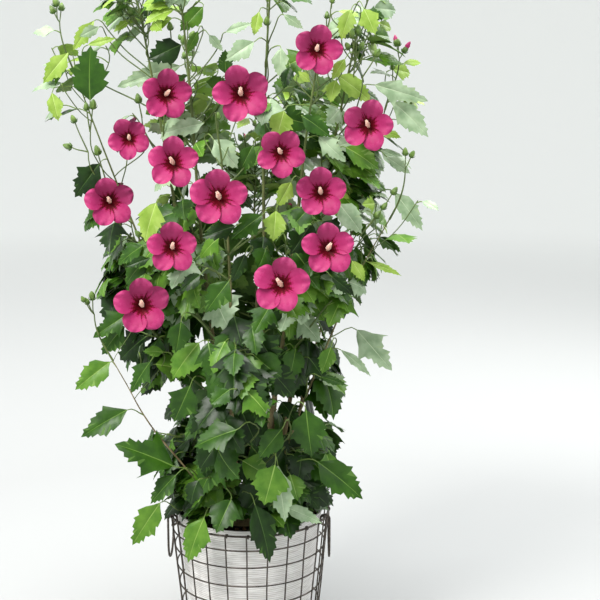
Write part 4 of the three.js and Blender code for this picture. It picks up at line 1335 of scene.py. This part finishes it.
def grow_blooms(shrub):
    """The front blooms where the photograph shows them, and one at the back behind each of them."""
    rand = random.Random(SEEDS["blooms"])
    shoots = []
    for across, down, place_back, size, turn, lean in FRONT_BLOOMS.values():
        centre = photo_point(across, down, place_back)
        tilt = np.array([0.12 * lean + rand.uniform(-0.08, 0.08), 0.0, rand.uniform(-0.02, 0.12)])
        facing = unit(unit(CAMERA_PLACE - centre) + tilt)
        shoots.append(add_bloom(shrub, centre, facing, size, math.radians(turn), lean, rand))
        _, span = pixel_of(centre)
        shrub.guard((across, down), (across, down), 0.48 * size / span, place_back)
    for across, down, place_back, *_ in FRONT_BLOOMS.values():
        aim = (across + rand.uniform(-5, 5), down + rand.uniform(-5, 5))
        depths = np.arange(0.34, place_back + 0.06, -0.004)
        back = next((back for back in depths if is_in_mass(photo_point(*aim, back), 0.0)), None)
        if back is None:
            continue
        centre = photo_point(*aim, back - 0.010)
        tilt = np.array([rand.uniform(-0.25, 0.25), 0.25, rand.uniform(0.0, 0.35)])
        facing = unit(outward_of(centre) + tilt)
        size = rand.uniform(*HIDDEN_BLOOM_SIZES)
        turn = rand.uniform(-0.6, 0.6)
        shoots.append(add_bloom(shrub, centre, facing, size, turn, rand.uniform(-0.5, 0.5), rand))
    return shoots


def grow_bloom_leaves(shrub, shoots, rand):
    """Leaves along the shoots that carry the blooms."""
    for shoot in shoots:
        for place, (spot, way, share) in enumerate(walk(shoot, 0.2, 0.026, rand)):
            tier = "mid" if spot[2] > 0.6 else "waist"
            size = 0.052 * rand.uniform(0.8, 1.15)
            leaf = leaf_on(spot, way, place * LEAF_TURN + 1.0, size, tier, 0.12, rand)
            if share < 0.85:
                shrub.add_clear_leaf(leaf, crown_only=False)


def is_in_mass(point, room):
    """True where a point is in a mass of foliage, or within a room of one."""
    spot = Vector(point)
    for mass in MASSES:
        if np.any(point < mass["low"] - room) or np.any(point > mass["high"] + room):
            continue
        near, normal, _, gap = mass["surface"].find_nearest(spot)
        if gap < room or (spot - near).dot(normal) < 0:
            return True
    return False


def is_in_a_bloom(point, bloom):
    """True in the room that leaves keep clear behind, beside and before a bloom."""
    centre, facing, size, _, _ = bloom
    gap = point - centre
    ahead = float(np.dot(gap, facing))
    aside = float(np.linalg.norm(gap - facing * ahead))
    return -BLOOM_BEHIND * size < ahead < BLOOM_BEFORE and aside < BLOOM_BESIDE * size


def is_at_the_basket(point):
    """True where a point is in a handle's swing, close over the compost, or lower than leaves hang."""
    near, far, half_span, top = HANDLE_ZONE
    if near < abs(point[0]) < far and abs(point[1]) < half_span and point[2] < top:
        return True
    over_soil = math.hypot(point[0], point[1]) < RIM_RADIUS + RIM_ROOM
    return point[2] < LOWEST_LEAF or (over_soil and point[2] < SOIL_TOP + SOIL_ROOM)


def leaves_the_outline(point, room):
    """True where a point is seen outside the crown's outline in the photograph by more than a room."""
    (across, down), _ = pixel_of(point)
    rows, lefts, rights = zip(*CROWN_OUTLINE)
    if down <= rows[0]:
        return False
    return across < np.interp(down, rows, lefts) - room or across > np.interp(down, rows, rights) + room


def keeps_clear(shrub, leaf, crown_only=True):
    """False where a leaf would hide a bloom, leave the crown, enter a handle's swing or hang too low."""
    base = leaf["base"]
    middle = base + leaf["way"] * leaf["size"] * 0.5
    tip = base + leaf["way"] * leaf["size"]
    points = (base, middle, tip)
    if any(is_in_a_bloom(point, bloom) for bloom in shrub.blooms for point in points):
        return False
    if any(is_at_the_basket(point) for point in points):
        return False
    if leaves_the_outline(middle, OUTLINE_ROOM[0]) or leaves_the_outline(tip, OUTLINE_ROOM[1]):
        return False
    for point, margin in zip(points, GUARD_MARGINS):
        if shrub.hides_a_guarded_place(point, margin):
            return False
    return not crown_only or (is_in_mass(middle, MASS_ROOM[0]) and is_in_mass(tip, MASS_ROOM[1]))


# The plant's pieces.

# Radii of stalks: petioles at foot and tip, bloom stalks, and the stalks of the buds that stand out.
PETIOLE_RADII = (0.0010, 0.0007)
BLOOM_STALK = 0.0013
BUD_STALK = 0.0012
# The share of buds that open.
OPENING_BUD_SHARE = 0.08


def build_plant():
    """Grows the shrub and makes its pieces."""
    shrub = Shrub()
    bloom_shoots = grow_blooms(shrub)
    grow_features(shrub)
    rand = random.Random(SEEDS["shoots"])
    grow_bloom_leaves(shrub, bloom_shoots, rand)
    for mass in MASSES:
        grow_mass(shrub, mass, rand)
    grow_leaders(shrub, rand)
    grow_collar(shrub, rand)
    build_leaves(shrub)
    build_flowers(shrub)
    build_shoots(shrub)
    build_stems()


def finish_of(name):
    """The plain finish of that name."""
    return mottled(name, *FINISHES[name])


def build_leaves(shrub):
    """Blades in pieces by colour and height, and all petioles in another."""
    rand = random.Random(SEEDS["leaves"])
    piles = {
        f"{age}_{level}": Pile(f"leaves_{age}_{level}", materials, "foliage")
        for age, materials in leaf_materials().items() for level in ("low", "high")
    }
    petioles = Pile("petioles", [finish_of("petiole")], "foliage")
    for leaf in shrub.leaves:
        dress_leaf(leaf, rand)
        level = "low" if leaf["base"][2] < LEAF_SPLIT_HEIGHT else "high"
        place_leaf(piles[f"{leaf['age']}_{level}"], leaf)
        line = arch(leaf["spot"], leaf["leave"], leaf["base"], leaf["way"], 4)
        petioles.add(*tube(line, np.linspace(*PETIOLE_RADII, 5), 4))
    for name, pile in piles.items():
        tier = REPLACED_TIERS.get(name)
        if pile.count:
            pile.build(replaced=[mass["node"] for mass in MASSES if mass["tier"] == tier])
    petioles.build()


def build_flowers(shrub):
    """Petals, columns, and the green calyxes, buds and bracts."""
    rand = random.Random(SEEDS["buds"])
    petals = Pile("petals", petal_materials(), "petals")
    columns = Pile("flower_columns", [finish_of("column_cream"), finish_of("pollen_cream")], "petals")
    greens = Pile("calyxes_and_buds", [finish_of("calyx_green"), finish_of("bract_green")], "foliage")
    for bloom in shrub.blooms:
        centre, facing, size, _, _ = bloom
        foot = place_bloom(petals, columns, greens, bloom, rand)
        start = centre - facing * size * BLOOM_STALK_START
        shrub.add_shoot(arch(start, facing, foot, facing, 3), BLOOM_STALK)
    for spot, way, count in shrub.buds:
        for k in range(count):
            out = level_way(rand.uniform(0, 2 * math.pi))
            facing = unit(way + out * (0.9 if k else 0.25) + UP * 0.4)
            foot = spot + facing * rand.uniform(*BUD_STALK_LENGTHS)
            if any(np.linalg.norm(foot - bloom[0]) < bloom[2] * BUD_ROOM for bloom in shrub.blooms):
                continue
            if shrub.hides_a_guarded_place(foot, BUD_MARGIN):
                continue
            shrub.add_shoot(arch(spot, unit(out + way), foot, facing, 4), SHOOT_TIP)
            length = rand.uniform(*BUD_LENGTHS)
            place_bud(greens, petals, foot, facing, length, rand.random() < OPENING_BUD_SHARE, rand)
    for spot, foot in shrub.feature_buds:
        facing = unit(foot - spot)
        foot = foot - facing * BUD_MIDDLE
        shrub.add_shoot(arch(spot, facing, foot, unit(facing + UP * 0.3), 6), BUD_STALK, SHOOT_TIP)
        place_bud(greens, petals, foot, facing, rand.uniform(*FEATURE_BUD_LENGTHS), False, rand)
    petals.build()
    columns.build()
    greens.build()


def build_shoots(shrub):
    """Green shoots in one piece."""
    pile = Pile("shoots", [finish_of("shoot_bark")], "bark")
    for line, radii in shrub.shoots:
        if len(line) > 1:
            pile.add(*tube(line, radii, 5))
    pile.build()


def build_stems():
    """The stems and the woody crown, with bark relief and swollen joints."""
    bark, tree, principled = shader("stem_bark", 0.72, 0.0, 0.35)
    target = principled.inputs["Base Color"]
    mottle = mottling(tree, 90.0, 6.0, (1, 1, 0.25))
    blended(tree, target, height_share(tree, *BARK_CHANGE), LOW_BARK_TONES, HIGH_BARK_TONES, mottle)
    add_relief(tree, principled, mottling(tree, 420.0, 8.0, (1, 1, 0.2)), 0.6, 0.0008)
    pile = Pile("stems", [bark], "bark")
    for order, (_, (line, radii)) in enumerate(sorted(STEMS.items())):
        fine = smooth_line(line[::3], 6)
        spread = np.interp(np.linspace(0, 1, len(fine)), np.linspace(0, 1, len(radii)), radii)

        def swell(i, turns, line=fine, order=order):
            joint = 1 + 0.12 * max(0.0, math.cos(i * 0.9 + order)) ** 12
            relief = [round_noise(turn, 1.6, line[i][2] * 70 + order * 7) for turn in turns]
            return joint * (1 + 0.10 * np.array(relief))

        pile.add(*tube(fine, spread, 12, swell=swell))
    pile.build(replaced=[f"stem_{stem}" for stem in STEMS])
    build_woody_crown(bark)


def build_woody_crown(bark):
    """A knobbly low stump that stands highest round the stems' feet."""
    low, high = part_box("woody_crown")
    pile = Pile("root_crown", [bark], "bark")
    sides = 72
    rows = 16
    feet = [line[0] for line, _ in STEMS.values()]
    points = []
    for row in range(rows + 1):
        r = row / rows
        for k in range(sides):
            turn = 2 * math.pi * k / sides
            wide = (high.x - low.x) / 2 * (0.97 - 0.16 * min(1.0, r * 2.2))
            if r > 0.45:
                wide *= math.cos((r - 0.45) / 0.55 * math.pi / 2) ** 0.8
            height = low.z + (high.z - low.z) * min(1.0, r * 2.0) ** 0.8
            rough = noise.fractal(Vector((math.cos(turn) * 2.2, math.sin(turn) * 2.2, r * 3)), 1.0, 2.0, 4)
            wide *= 1 + 0.06 * rough
            x = wide * math.cos(turn)
            y = wide * math.sin(turn) * (high.y - low.y) / (high.x - low.x)
            near = min(math.hypot(x - foot[0], y - foot[1]) for foot in feet)
            dip = 0.010 * min(1.0, max(0.0, near - 0.006) / 0.02) * min(1.0, r * 2)
            points.append((x, y, height - dip - 0.0015 * abs(rough) * (r > 0)))
    pile.add(points, closed_skin(rows, sides))
    pile.build(replaced=["woody_crown"])


# The basket.

UPRIGHTS = 24
# The wires' diameters: most of them, those at the basket's foot and rim, and the handles'.
WIRE = 0.0024
EDGE_WIRE = 0.0034
HANDLE_WIRE = 0.0036
# How far uprights stand outside the wall's middle, and how far the hoops between them lie inside it.
UPRIGHT_OUT = 0.0009
HOOP_IN = 0.0008
# The radius at which an upright's end wraps round the rim, and the half sizes of a weld.
WRAP_RADIUS = 0.0026
WELD = np.array([0.0017, 0.0017, 0.0013])
FLOOR_WIRES = 4
# A drop handle, which hooks over the rim: the reach of the rim's middle line, half the span between the
# hooks, a hook's radius, how far its free side drops, how far out and up from the rim its middle is, the
# turn at which it ends, how far the handle hangs, and how far its legs run straight.
HANDLE_AXIS = 0.1184
HOOK_HALF_SPAN = 0.038
HOOK_RADIUS = 0.007
HOOK_SIDE = 0.003
HOOK_OUT = 0.0008
HOOK_UP = -0.0025
HOOK_END = math.radians(285)
HANDLE_REACH = 0.075
HANDLE_STRAIGHT = 0.044
# The liner: from the middle of one reed to the next, how deep the groove between two is, the radii at
# its foot and rim, its wall, how ragged the reeds and the lip are, and its floor's flat middle.
REED = 0.0031
REED_GROOVE = 0.0011
LINER_FOOT = 0.091
LINER_RIM = 0.115
LINER_WALL = 0.004
REED_RAGGED = 0.0005
LIP_RAGGED = 0.0006
LINER_MIDDLE = 0.02
# The compost: its crumbs, and how much of them is bark.
CRUMBS = 420
BARK_SHARE = 0.25


def read_basket():
    """The middle radius of the CAD basket at its foot and rim, and the heights of its hoops."""
    points = mesh_points("wire_basket")
    reach = np.hypot(points[:, 0], points[:, 1])
    foot = reach[points[:, 2] < 0.0005]
    rim = reach[points[:, 2] > RIM_HEIGHT - 0.0005]
    levels = np.unique(np.round(points[:, 2], 4))
    hoops = [(levels[i] + levels[i + 1]) / 2 for i in range(0, len(levels) - 1, 2)]
    return (foot.min() + foot.max()) / 2, (rim.min() + rim.max()) / 2, hoops


BASKET_FOOT, BASKET_RIM, HOOPS = read_basket()


def basket_radius(height):
    """The basket wall's middle radius at a height, from its widest and narrowest rings."""
    return BASKET_FOOT + (BASKET_RIM - BASKET_FOOT) * height / RIM_HEIGHT


def circle(radius, height, steps, wobble, seed):
    """A level ring of points, bent slightly out of true."""
    turns = np.arange(steps) * 2 * math.pi / steps
    bend = np.array([round_noise(turn, 1, seed * 3.1) for turn in turns])
    reach = radius + wobble * bend
    lift = height + wobble * 0.8 * np.roll(bend, steps // 5)
    return np.stack([reach * np.cos(turns), reach * np.sin(turns), lift], axis=1)


def wire_material():
    """Dark waxed steel wire with worn, slightly rusty patches."""
    material, tree, principled = shader("basket_wire", 0.5, 0.75, 0.5)
    two_tone(tree, principled.inputs["Base Color"], mottling(tree, 160.0, 6.0), WIRE_TONES, 0.35, 0.7)
    add_relief(tree, principled, mottling(tree, 900.0, 4.0), 0.35, 0.0003)
    return material


def liner_material(foot):
    """Pale split reed, darker in the grooves between one reed and the next: painted shade in the grooves."""
    material, tree, principled = shader("liner_reed", 0.85, 0.0, 0.2)
    reed_count = height_share(tree, foot, foot + REED, clamped=False)
    off_middle = reckoned(tree, "SUBTRACT", reckoned(tree, "FRACT", reed_count), 0.5)
    # The grooves between reeds take darker tones: painted shade.
    groove = share_between(tree, reckoned(tree, "ABSOLUTE", off_middle), 0.36, 0.49)
    mottle = mottling(tree, 40.0, 6.0, (1, 1, 9))
    blended(tree, principled.inputs["Base Color"], groove, REED_TONES, GROOVE_SHADE_TONES, mottle)
    add_relief(tree, principled, mottling(tree, 260.0, 8.0, (1, 1, 6)), 0.5, 0.0006)
    return material


def add_hoops(pile):
    """Level rings of wire, thicker at the foot and the rim."""
    last = len(HOOPS) - 1
    for order, height in enumerate(HOOPS):
        is_edge = order in (0, last)
        thick = EDGE_WIRE if is_edge else WIRE
        reach = basket_radius(height) - (0.0 if is_edge else HOOP_IN)
        wobble = 0.0 if order == 0 else 0.0003 if is_edge else 0.0006
        line = circle(reach, max(height, thick / 2), 96, wobble, order)
        pile.add(*tube(line, thick / 2, 8, closed=True))


def add_upright(pile, order):
    """One upright wire, wrapped round the rim and welded to each hoop between."""
    turn = 2 * math.pi * order / UPRIGHTS - math.pi / 2
    out = level_way(turn)
    along = np.cross(UP, out)
    rim = HOOPS[-1]
    line = []
    for height in np.linspace(EDGE_WIRE / 2, rim, 26):
        bend = 0.0007 * noise.noise(Vector((order * 2.7, height * 14, 0.5)))
        reach = basket_radius(height) + UPRIGHT_OUT + bend
        line.append(out * reach + along * bend * 1.4 + UP * height)
    pile.add(*tube(line, WIRE / 2, 7))
    wrap = [
        out * (BASKET_RIM + math.cos(a) * WRAP_RADIUS) + UP * (rim + math.sin(a) * WRAP_RADIUS)
        + along * (0.0008 + 0.0022 * (a + 2) / 8)
        for a in np.linspace(-0.3, 1.35, 16) * 2 * math.pi
    ]
    pile.add(*tube(wrap, WIRE / 2 * 0.85, 6))
    for height in HOOPS[1:-1]:
        pile.add(BALL * WELD + out * basket_radius(height) + UP * height, BALL_FACES)


def build_basket(material):
    """Hoops, uprights with their ends wrapped round the rim, weld beads and floor wires."""
    pile = Pile("basket_wires", [material], "wire")
    add_hoops(pile)
    for order in range(UPRIGHTS):
        add_upright(pile, order)
    low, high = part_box("basket_floor")
    reach = (high.x - low.x) / 2 / math.cos(math.pi / 8)
    for k in range(FLOOR_WIRES):
        out = level_way(math.pi * (k + 0.5) / FLOOR_WIRES)
        line = [out * reach * t + UP * EDGE_WIRE / 2 for t in np.linspace(-1, 1, 12)]
        pile.add(*tube(line, EDGE_WIRE / 2 * 0.94, 8))
    pile.build(replaced=["wire_basket", "basket_floor"])


def build_handles(material):
    """Each drop handle is one bent wire whose hooked ends hang over the rim."""
    half = []
    curl = [(turn, -HOOK_SIDE) for turn in np.linspace(HOOK_END, math.pi, 10)[:-1]]
    for turn, lift in curl + [(turn, 0.0) for turn in np.linspace(math.pi, 0, 18)]:
        out = HOOK_OUT + HOOK_RADIUS * math.cos(turn)
        half.append((out, HOOK_HALF_SPAN, HOOK_UP + lift + HOOK_RADIUS * math.sin(turn)))
    leg_out = HOOK_OUT + HOOK_RADIUS
    for share in (0.3, 0.65):
        half.append((leg_out, HOOK_HALF_SPAN, HOOK_UP - (HANDLE_STRAIGHT + HOOK_UP) * share))
    for turn in np.linspace(0, math.pi / 2, 16):
        drop = HANDLE_STRAIGHT + (HANDLE_REACH - HANDLE_STRAIGHT) * math.sin(turn)
        half.append((leg_out, HOOK_HALF_SPAN * math.cos(turn), -drop))
    outline = half + [(out, -along, up) for out, along, up in half[-2::-1]]
    for side_name, side in (("left", -1), ("right", 1)):
        line = [(side * (HANDLE_AXIS + out), along, HOOPS[-1] + up) for out, along, up in outline]
        pile = Pile(f"{side_name}_drop_handle", [material], "wire")
        pile.add(*tube(smooth_line(line, 2), HANDLE_WIRE / 2 * 0.98, 10))
        pile.build(replaced=[f"{side_name}_handle"], body=f"{side_name}_drop_handle")


def liner_profile(foot, lip):
    """The liner's section, up the outside and down the inside: reach, height and share of ribs."""
    rows = int((lip - foot) / REED * 4)
    flare = LINER_RIM - LINER_FOOT
    outside = [
        (LINER_FOOT + flare * row / rows, foot + (lip - foot) * row / rows, 1.0) for row in range(rows + 1)
    ]
    inside = [
        (LINER_RIM - LINER_WALL - flare * share, lip - 0.0008 - (lip - foot - LINER_WALL) * share, 0.0)
        for share in np.linspace(0, 1, 13)
    ]
    return [
        (LINER_MIDDLE, foot, 0.0), *outside, (LINER_RIM - LINER_WALL * 0.45, lip + 0.0006, 0.0),
        *inside, (LINER_MIDDLE, foot + LINER_WALL, 0.0),
    ]


def build_liner():
    """A shell of split reeds laid round in level ribs, with a thin uneven lip."""
    low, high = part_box("reed_liner")
    foot = low.z
    lip = high.z - 0.0008
    pile = Pile("ribbed_liner", [liner_material(foot)], "liner")
    sides = 120
    profile = liner_profile(foot, lip)
    points = []
    for reach, height, ribbed in profile:
        phase = (height - foot) / REED
        band = math.floor(phase)
        crest = abs(math.sin(math.pi * (phase - band))) ** 0.7
        for k in range(sides):
            turn = 2 * math.pi * k / sides
            rough = round_noise(turn, 3, band * 5.3)
            out = reach + ribbed * (REED_GROOVE * (crest - 1) + REED_RAGGED * rough)
            lift = LIP_RAGGED * rough if height > lip - 0.002 else 0.0
            points.append(level_way(turn) * out + UP * (height + lift))
    pile.add(points, closed_skin(len(profile) - 1, sides))
    pile.build(replaced=["reed_liner"])


def build_soil():
    """Crumbly compost: an uneven surface with crumbs and bits of bark on it."""
    low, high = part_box("soil")
    rand = random.Random(SEEDS["soil"])
    pile = Pile("compost_surface", [finish_of("compost"), finish_of("bark_chip")], "soil")
    rings = 30
    sides = 96
    radius = (high.x - low.x) / 2 / math.cos(math.pi / 24) * 0.985
    points = [UP * high.z]
    for x, y, _ in revolved([(radius * ring / rings, 0.0) for ring in range(1, rings + 1)], sides):
        lift = 0.0026 * noise.fractal(Vector((x * 70, y * 70, 0)), 1.0, 2.0, 5)
        points.append((x, y, high.z - 0.002 + lift))
    points += revolved([((LINER_FOOT - 0.0045) * 0.99, low.z)], sides)
    underside = tuple(range(1 + rings * sides, 1 + (rings + 1) * sides))
    pile.add(points, fan(sides) + ring_faces(rings, sides, 1, turned=True) + [underside[::-1]])
    for _ in range(CRUMBS):
        reach = radius * 0.97 * math.sqrt(rand.random())
        spot = level_way(rand.uniform(0, 2 * math.pi)) * reach + UP * (high.z - 0.001)
        size = rand.uniform(0.0012, 0.0036)
        scale = np.array([rand.uniform(0.7, 1.4), rand.uniform(0.7, 1.3), rand.uniform(0.5, 0.9)]) * size
        pile.add(BALL * scale + spot, BALL_FACES, 1 if rand.random() < BARK_SHARE else 0)
    pile.build(replaced=["soil"])


# The stage.

# The floor is level to this reach, then curves up by this radius into a wall of this height.
STAGE_REACH = 5.0
STAGE_CURVE = 2.5
STAGE_HEIGHT = 3.6
# The reaches between which the floor turns from its darker tone to its lighter one.
STAGE_CHANGE = (1.0, 5.5)
# Square lights that face the shrub's middle: place, side, energy and colour.
LIGHTS = {
    "key": ((-1.5, -1.7, 3.1), 1.1, 112.0, (1.0, 0.985, 0.96)),
    "sky": ((0.1, 0.2, 3.3), 2.0, 78.0, (0.95, 0.98, 1.0)),
    "behind": ((1.3, 1.3, 2.2), 1.4, 34.0, (1.0, 1.0, 1.0)),
}
LIT_POINT = (0.0, 0.0, 0.65)
ROOM_COLOUR = (0.98, 0.99, 1.0, 1.0)
ROOM_STRENGTH = 0.72


def build_stage():
    """A pale floor that curves up into a pale wall all round."""
    material, tree, principled = shader("stage", 0.9, 0.0, 0.2)
    reach = tree.nodes.new("ShaderNodeVectorMath")
    reach.operation = "LENGTH"
    tree.links.new(object_place(tree), reach.inputs[0])
    share = share_between(tree, reach.outputs["Value"], *STAGE_CHANGE)
    two_tone(tree, principled.inputs["Base Color"], share, STAGE_TONES, 0.0, 1.0)
    profile = [(reach, 0.0) for reach in (0.5, 1.5, 3.0, STAGE_REACH)]
    for turn in np.linspace(0, math.pi / 2, 14)[1:]:
        profile.append((STAGE_REACH + STAGE_CURVE * math.sin(turn), STAGE_CURVE * (1 - math.cos(turn))))
    profile.append((STAGE_REACH + STAGE_CURVE, STAGE_HEIGHT))
    sides = 64
    points = [UP * 0.0, *revolved(profile, sides)]
    faces = fan(sides) + ring_faces(len(profile) - 1, sides, 1, turned=True)
    floor = add_object("stage_floor", smooth_mesh("stage_floor", points, faces, [material]))


def build_lights():
    """Soft daylight from above and the left, with a light from behind and a bright room."""
    scene = bpy.context.scene
    world = bpy.data.worlds.new("room")
    world.use_nodes = True
    background = world.node_tree.nodes["Background"]
    background.inputs["Color"].default_value = ROOM_COLOUR
    background.inputs["Strength"].default_value = ROOM_STRENGTH
    scene.world = world
    for name, (place, size, energy, colour) in LIGHTS.items():
        data = bpy.data.lights.new(name, "AREA")
        data.shape = "SQUARE"
        data.size = size
        data.energy = energy
        data.color = colour
        light = add_object(name, data)
        light.location = place
        light.rotation_euler = (Vector(LIT_POINT) - Vector(place)).to_track_quat("-Z", "Y").to_euler()
    scene.view_settings.view_transform = "Standard"
    scene.view_settings.look = "None"
    scene.view_settings.exposure = 0.0


def build_camera():
    """The photograph's camera."""
    data = bpy.data.cameras.new("camera")
    data.sensor_width = SENSOR
    data.lens = CAMERA_FOCUS * SENSOR / IMAGE_SIDE
    camera = add_object("camera", data)
    camera.location = CAMERA_PLACE
    camera.rotation_euler = (math.pi / 2 - CAMERA_TILT, 0.0, 0.0)
    bpy.context.scene.camera = camera


build_camera()
build_lights()
build_stage()
WIRE_FINISH = wire_material()
build_basket(WIRE_FINISH)
build_handles(WIRE_FINISH)
build_liner()
build_soil()
build_plant()
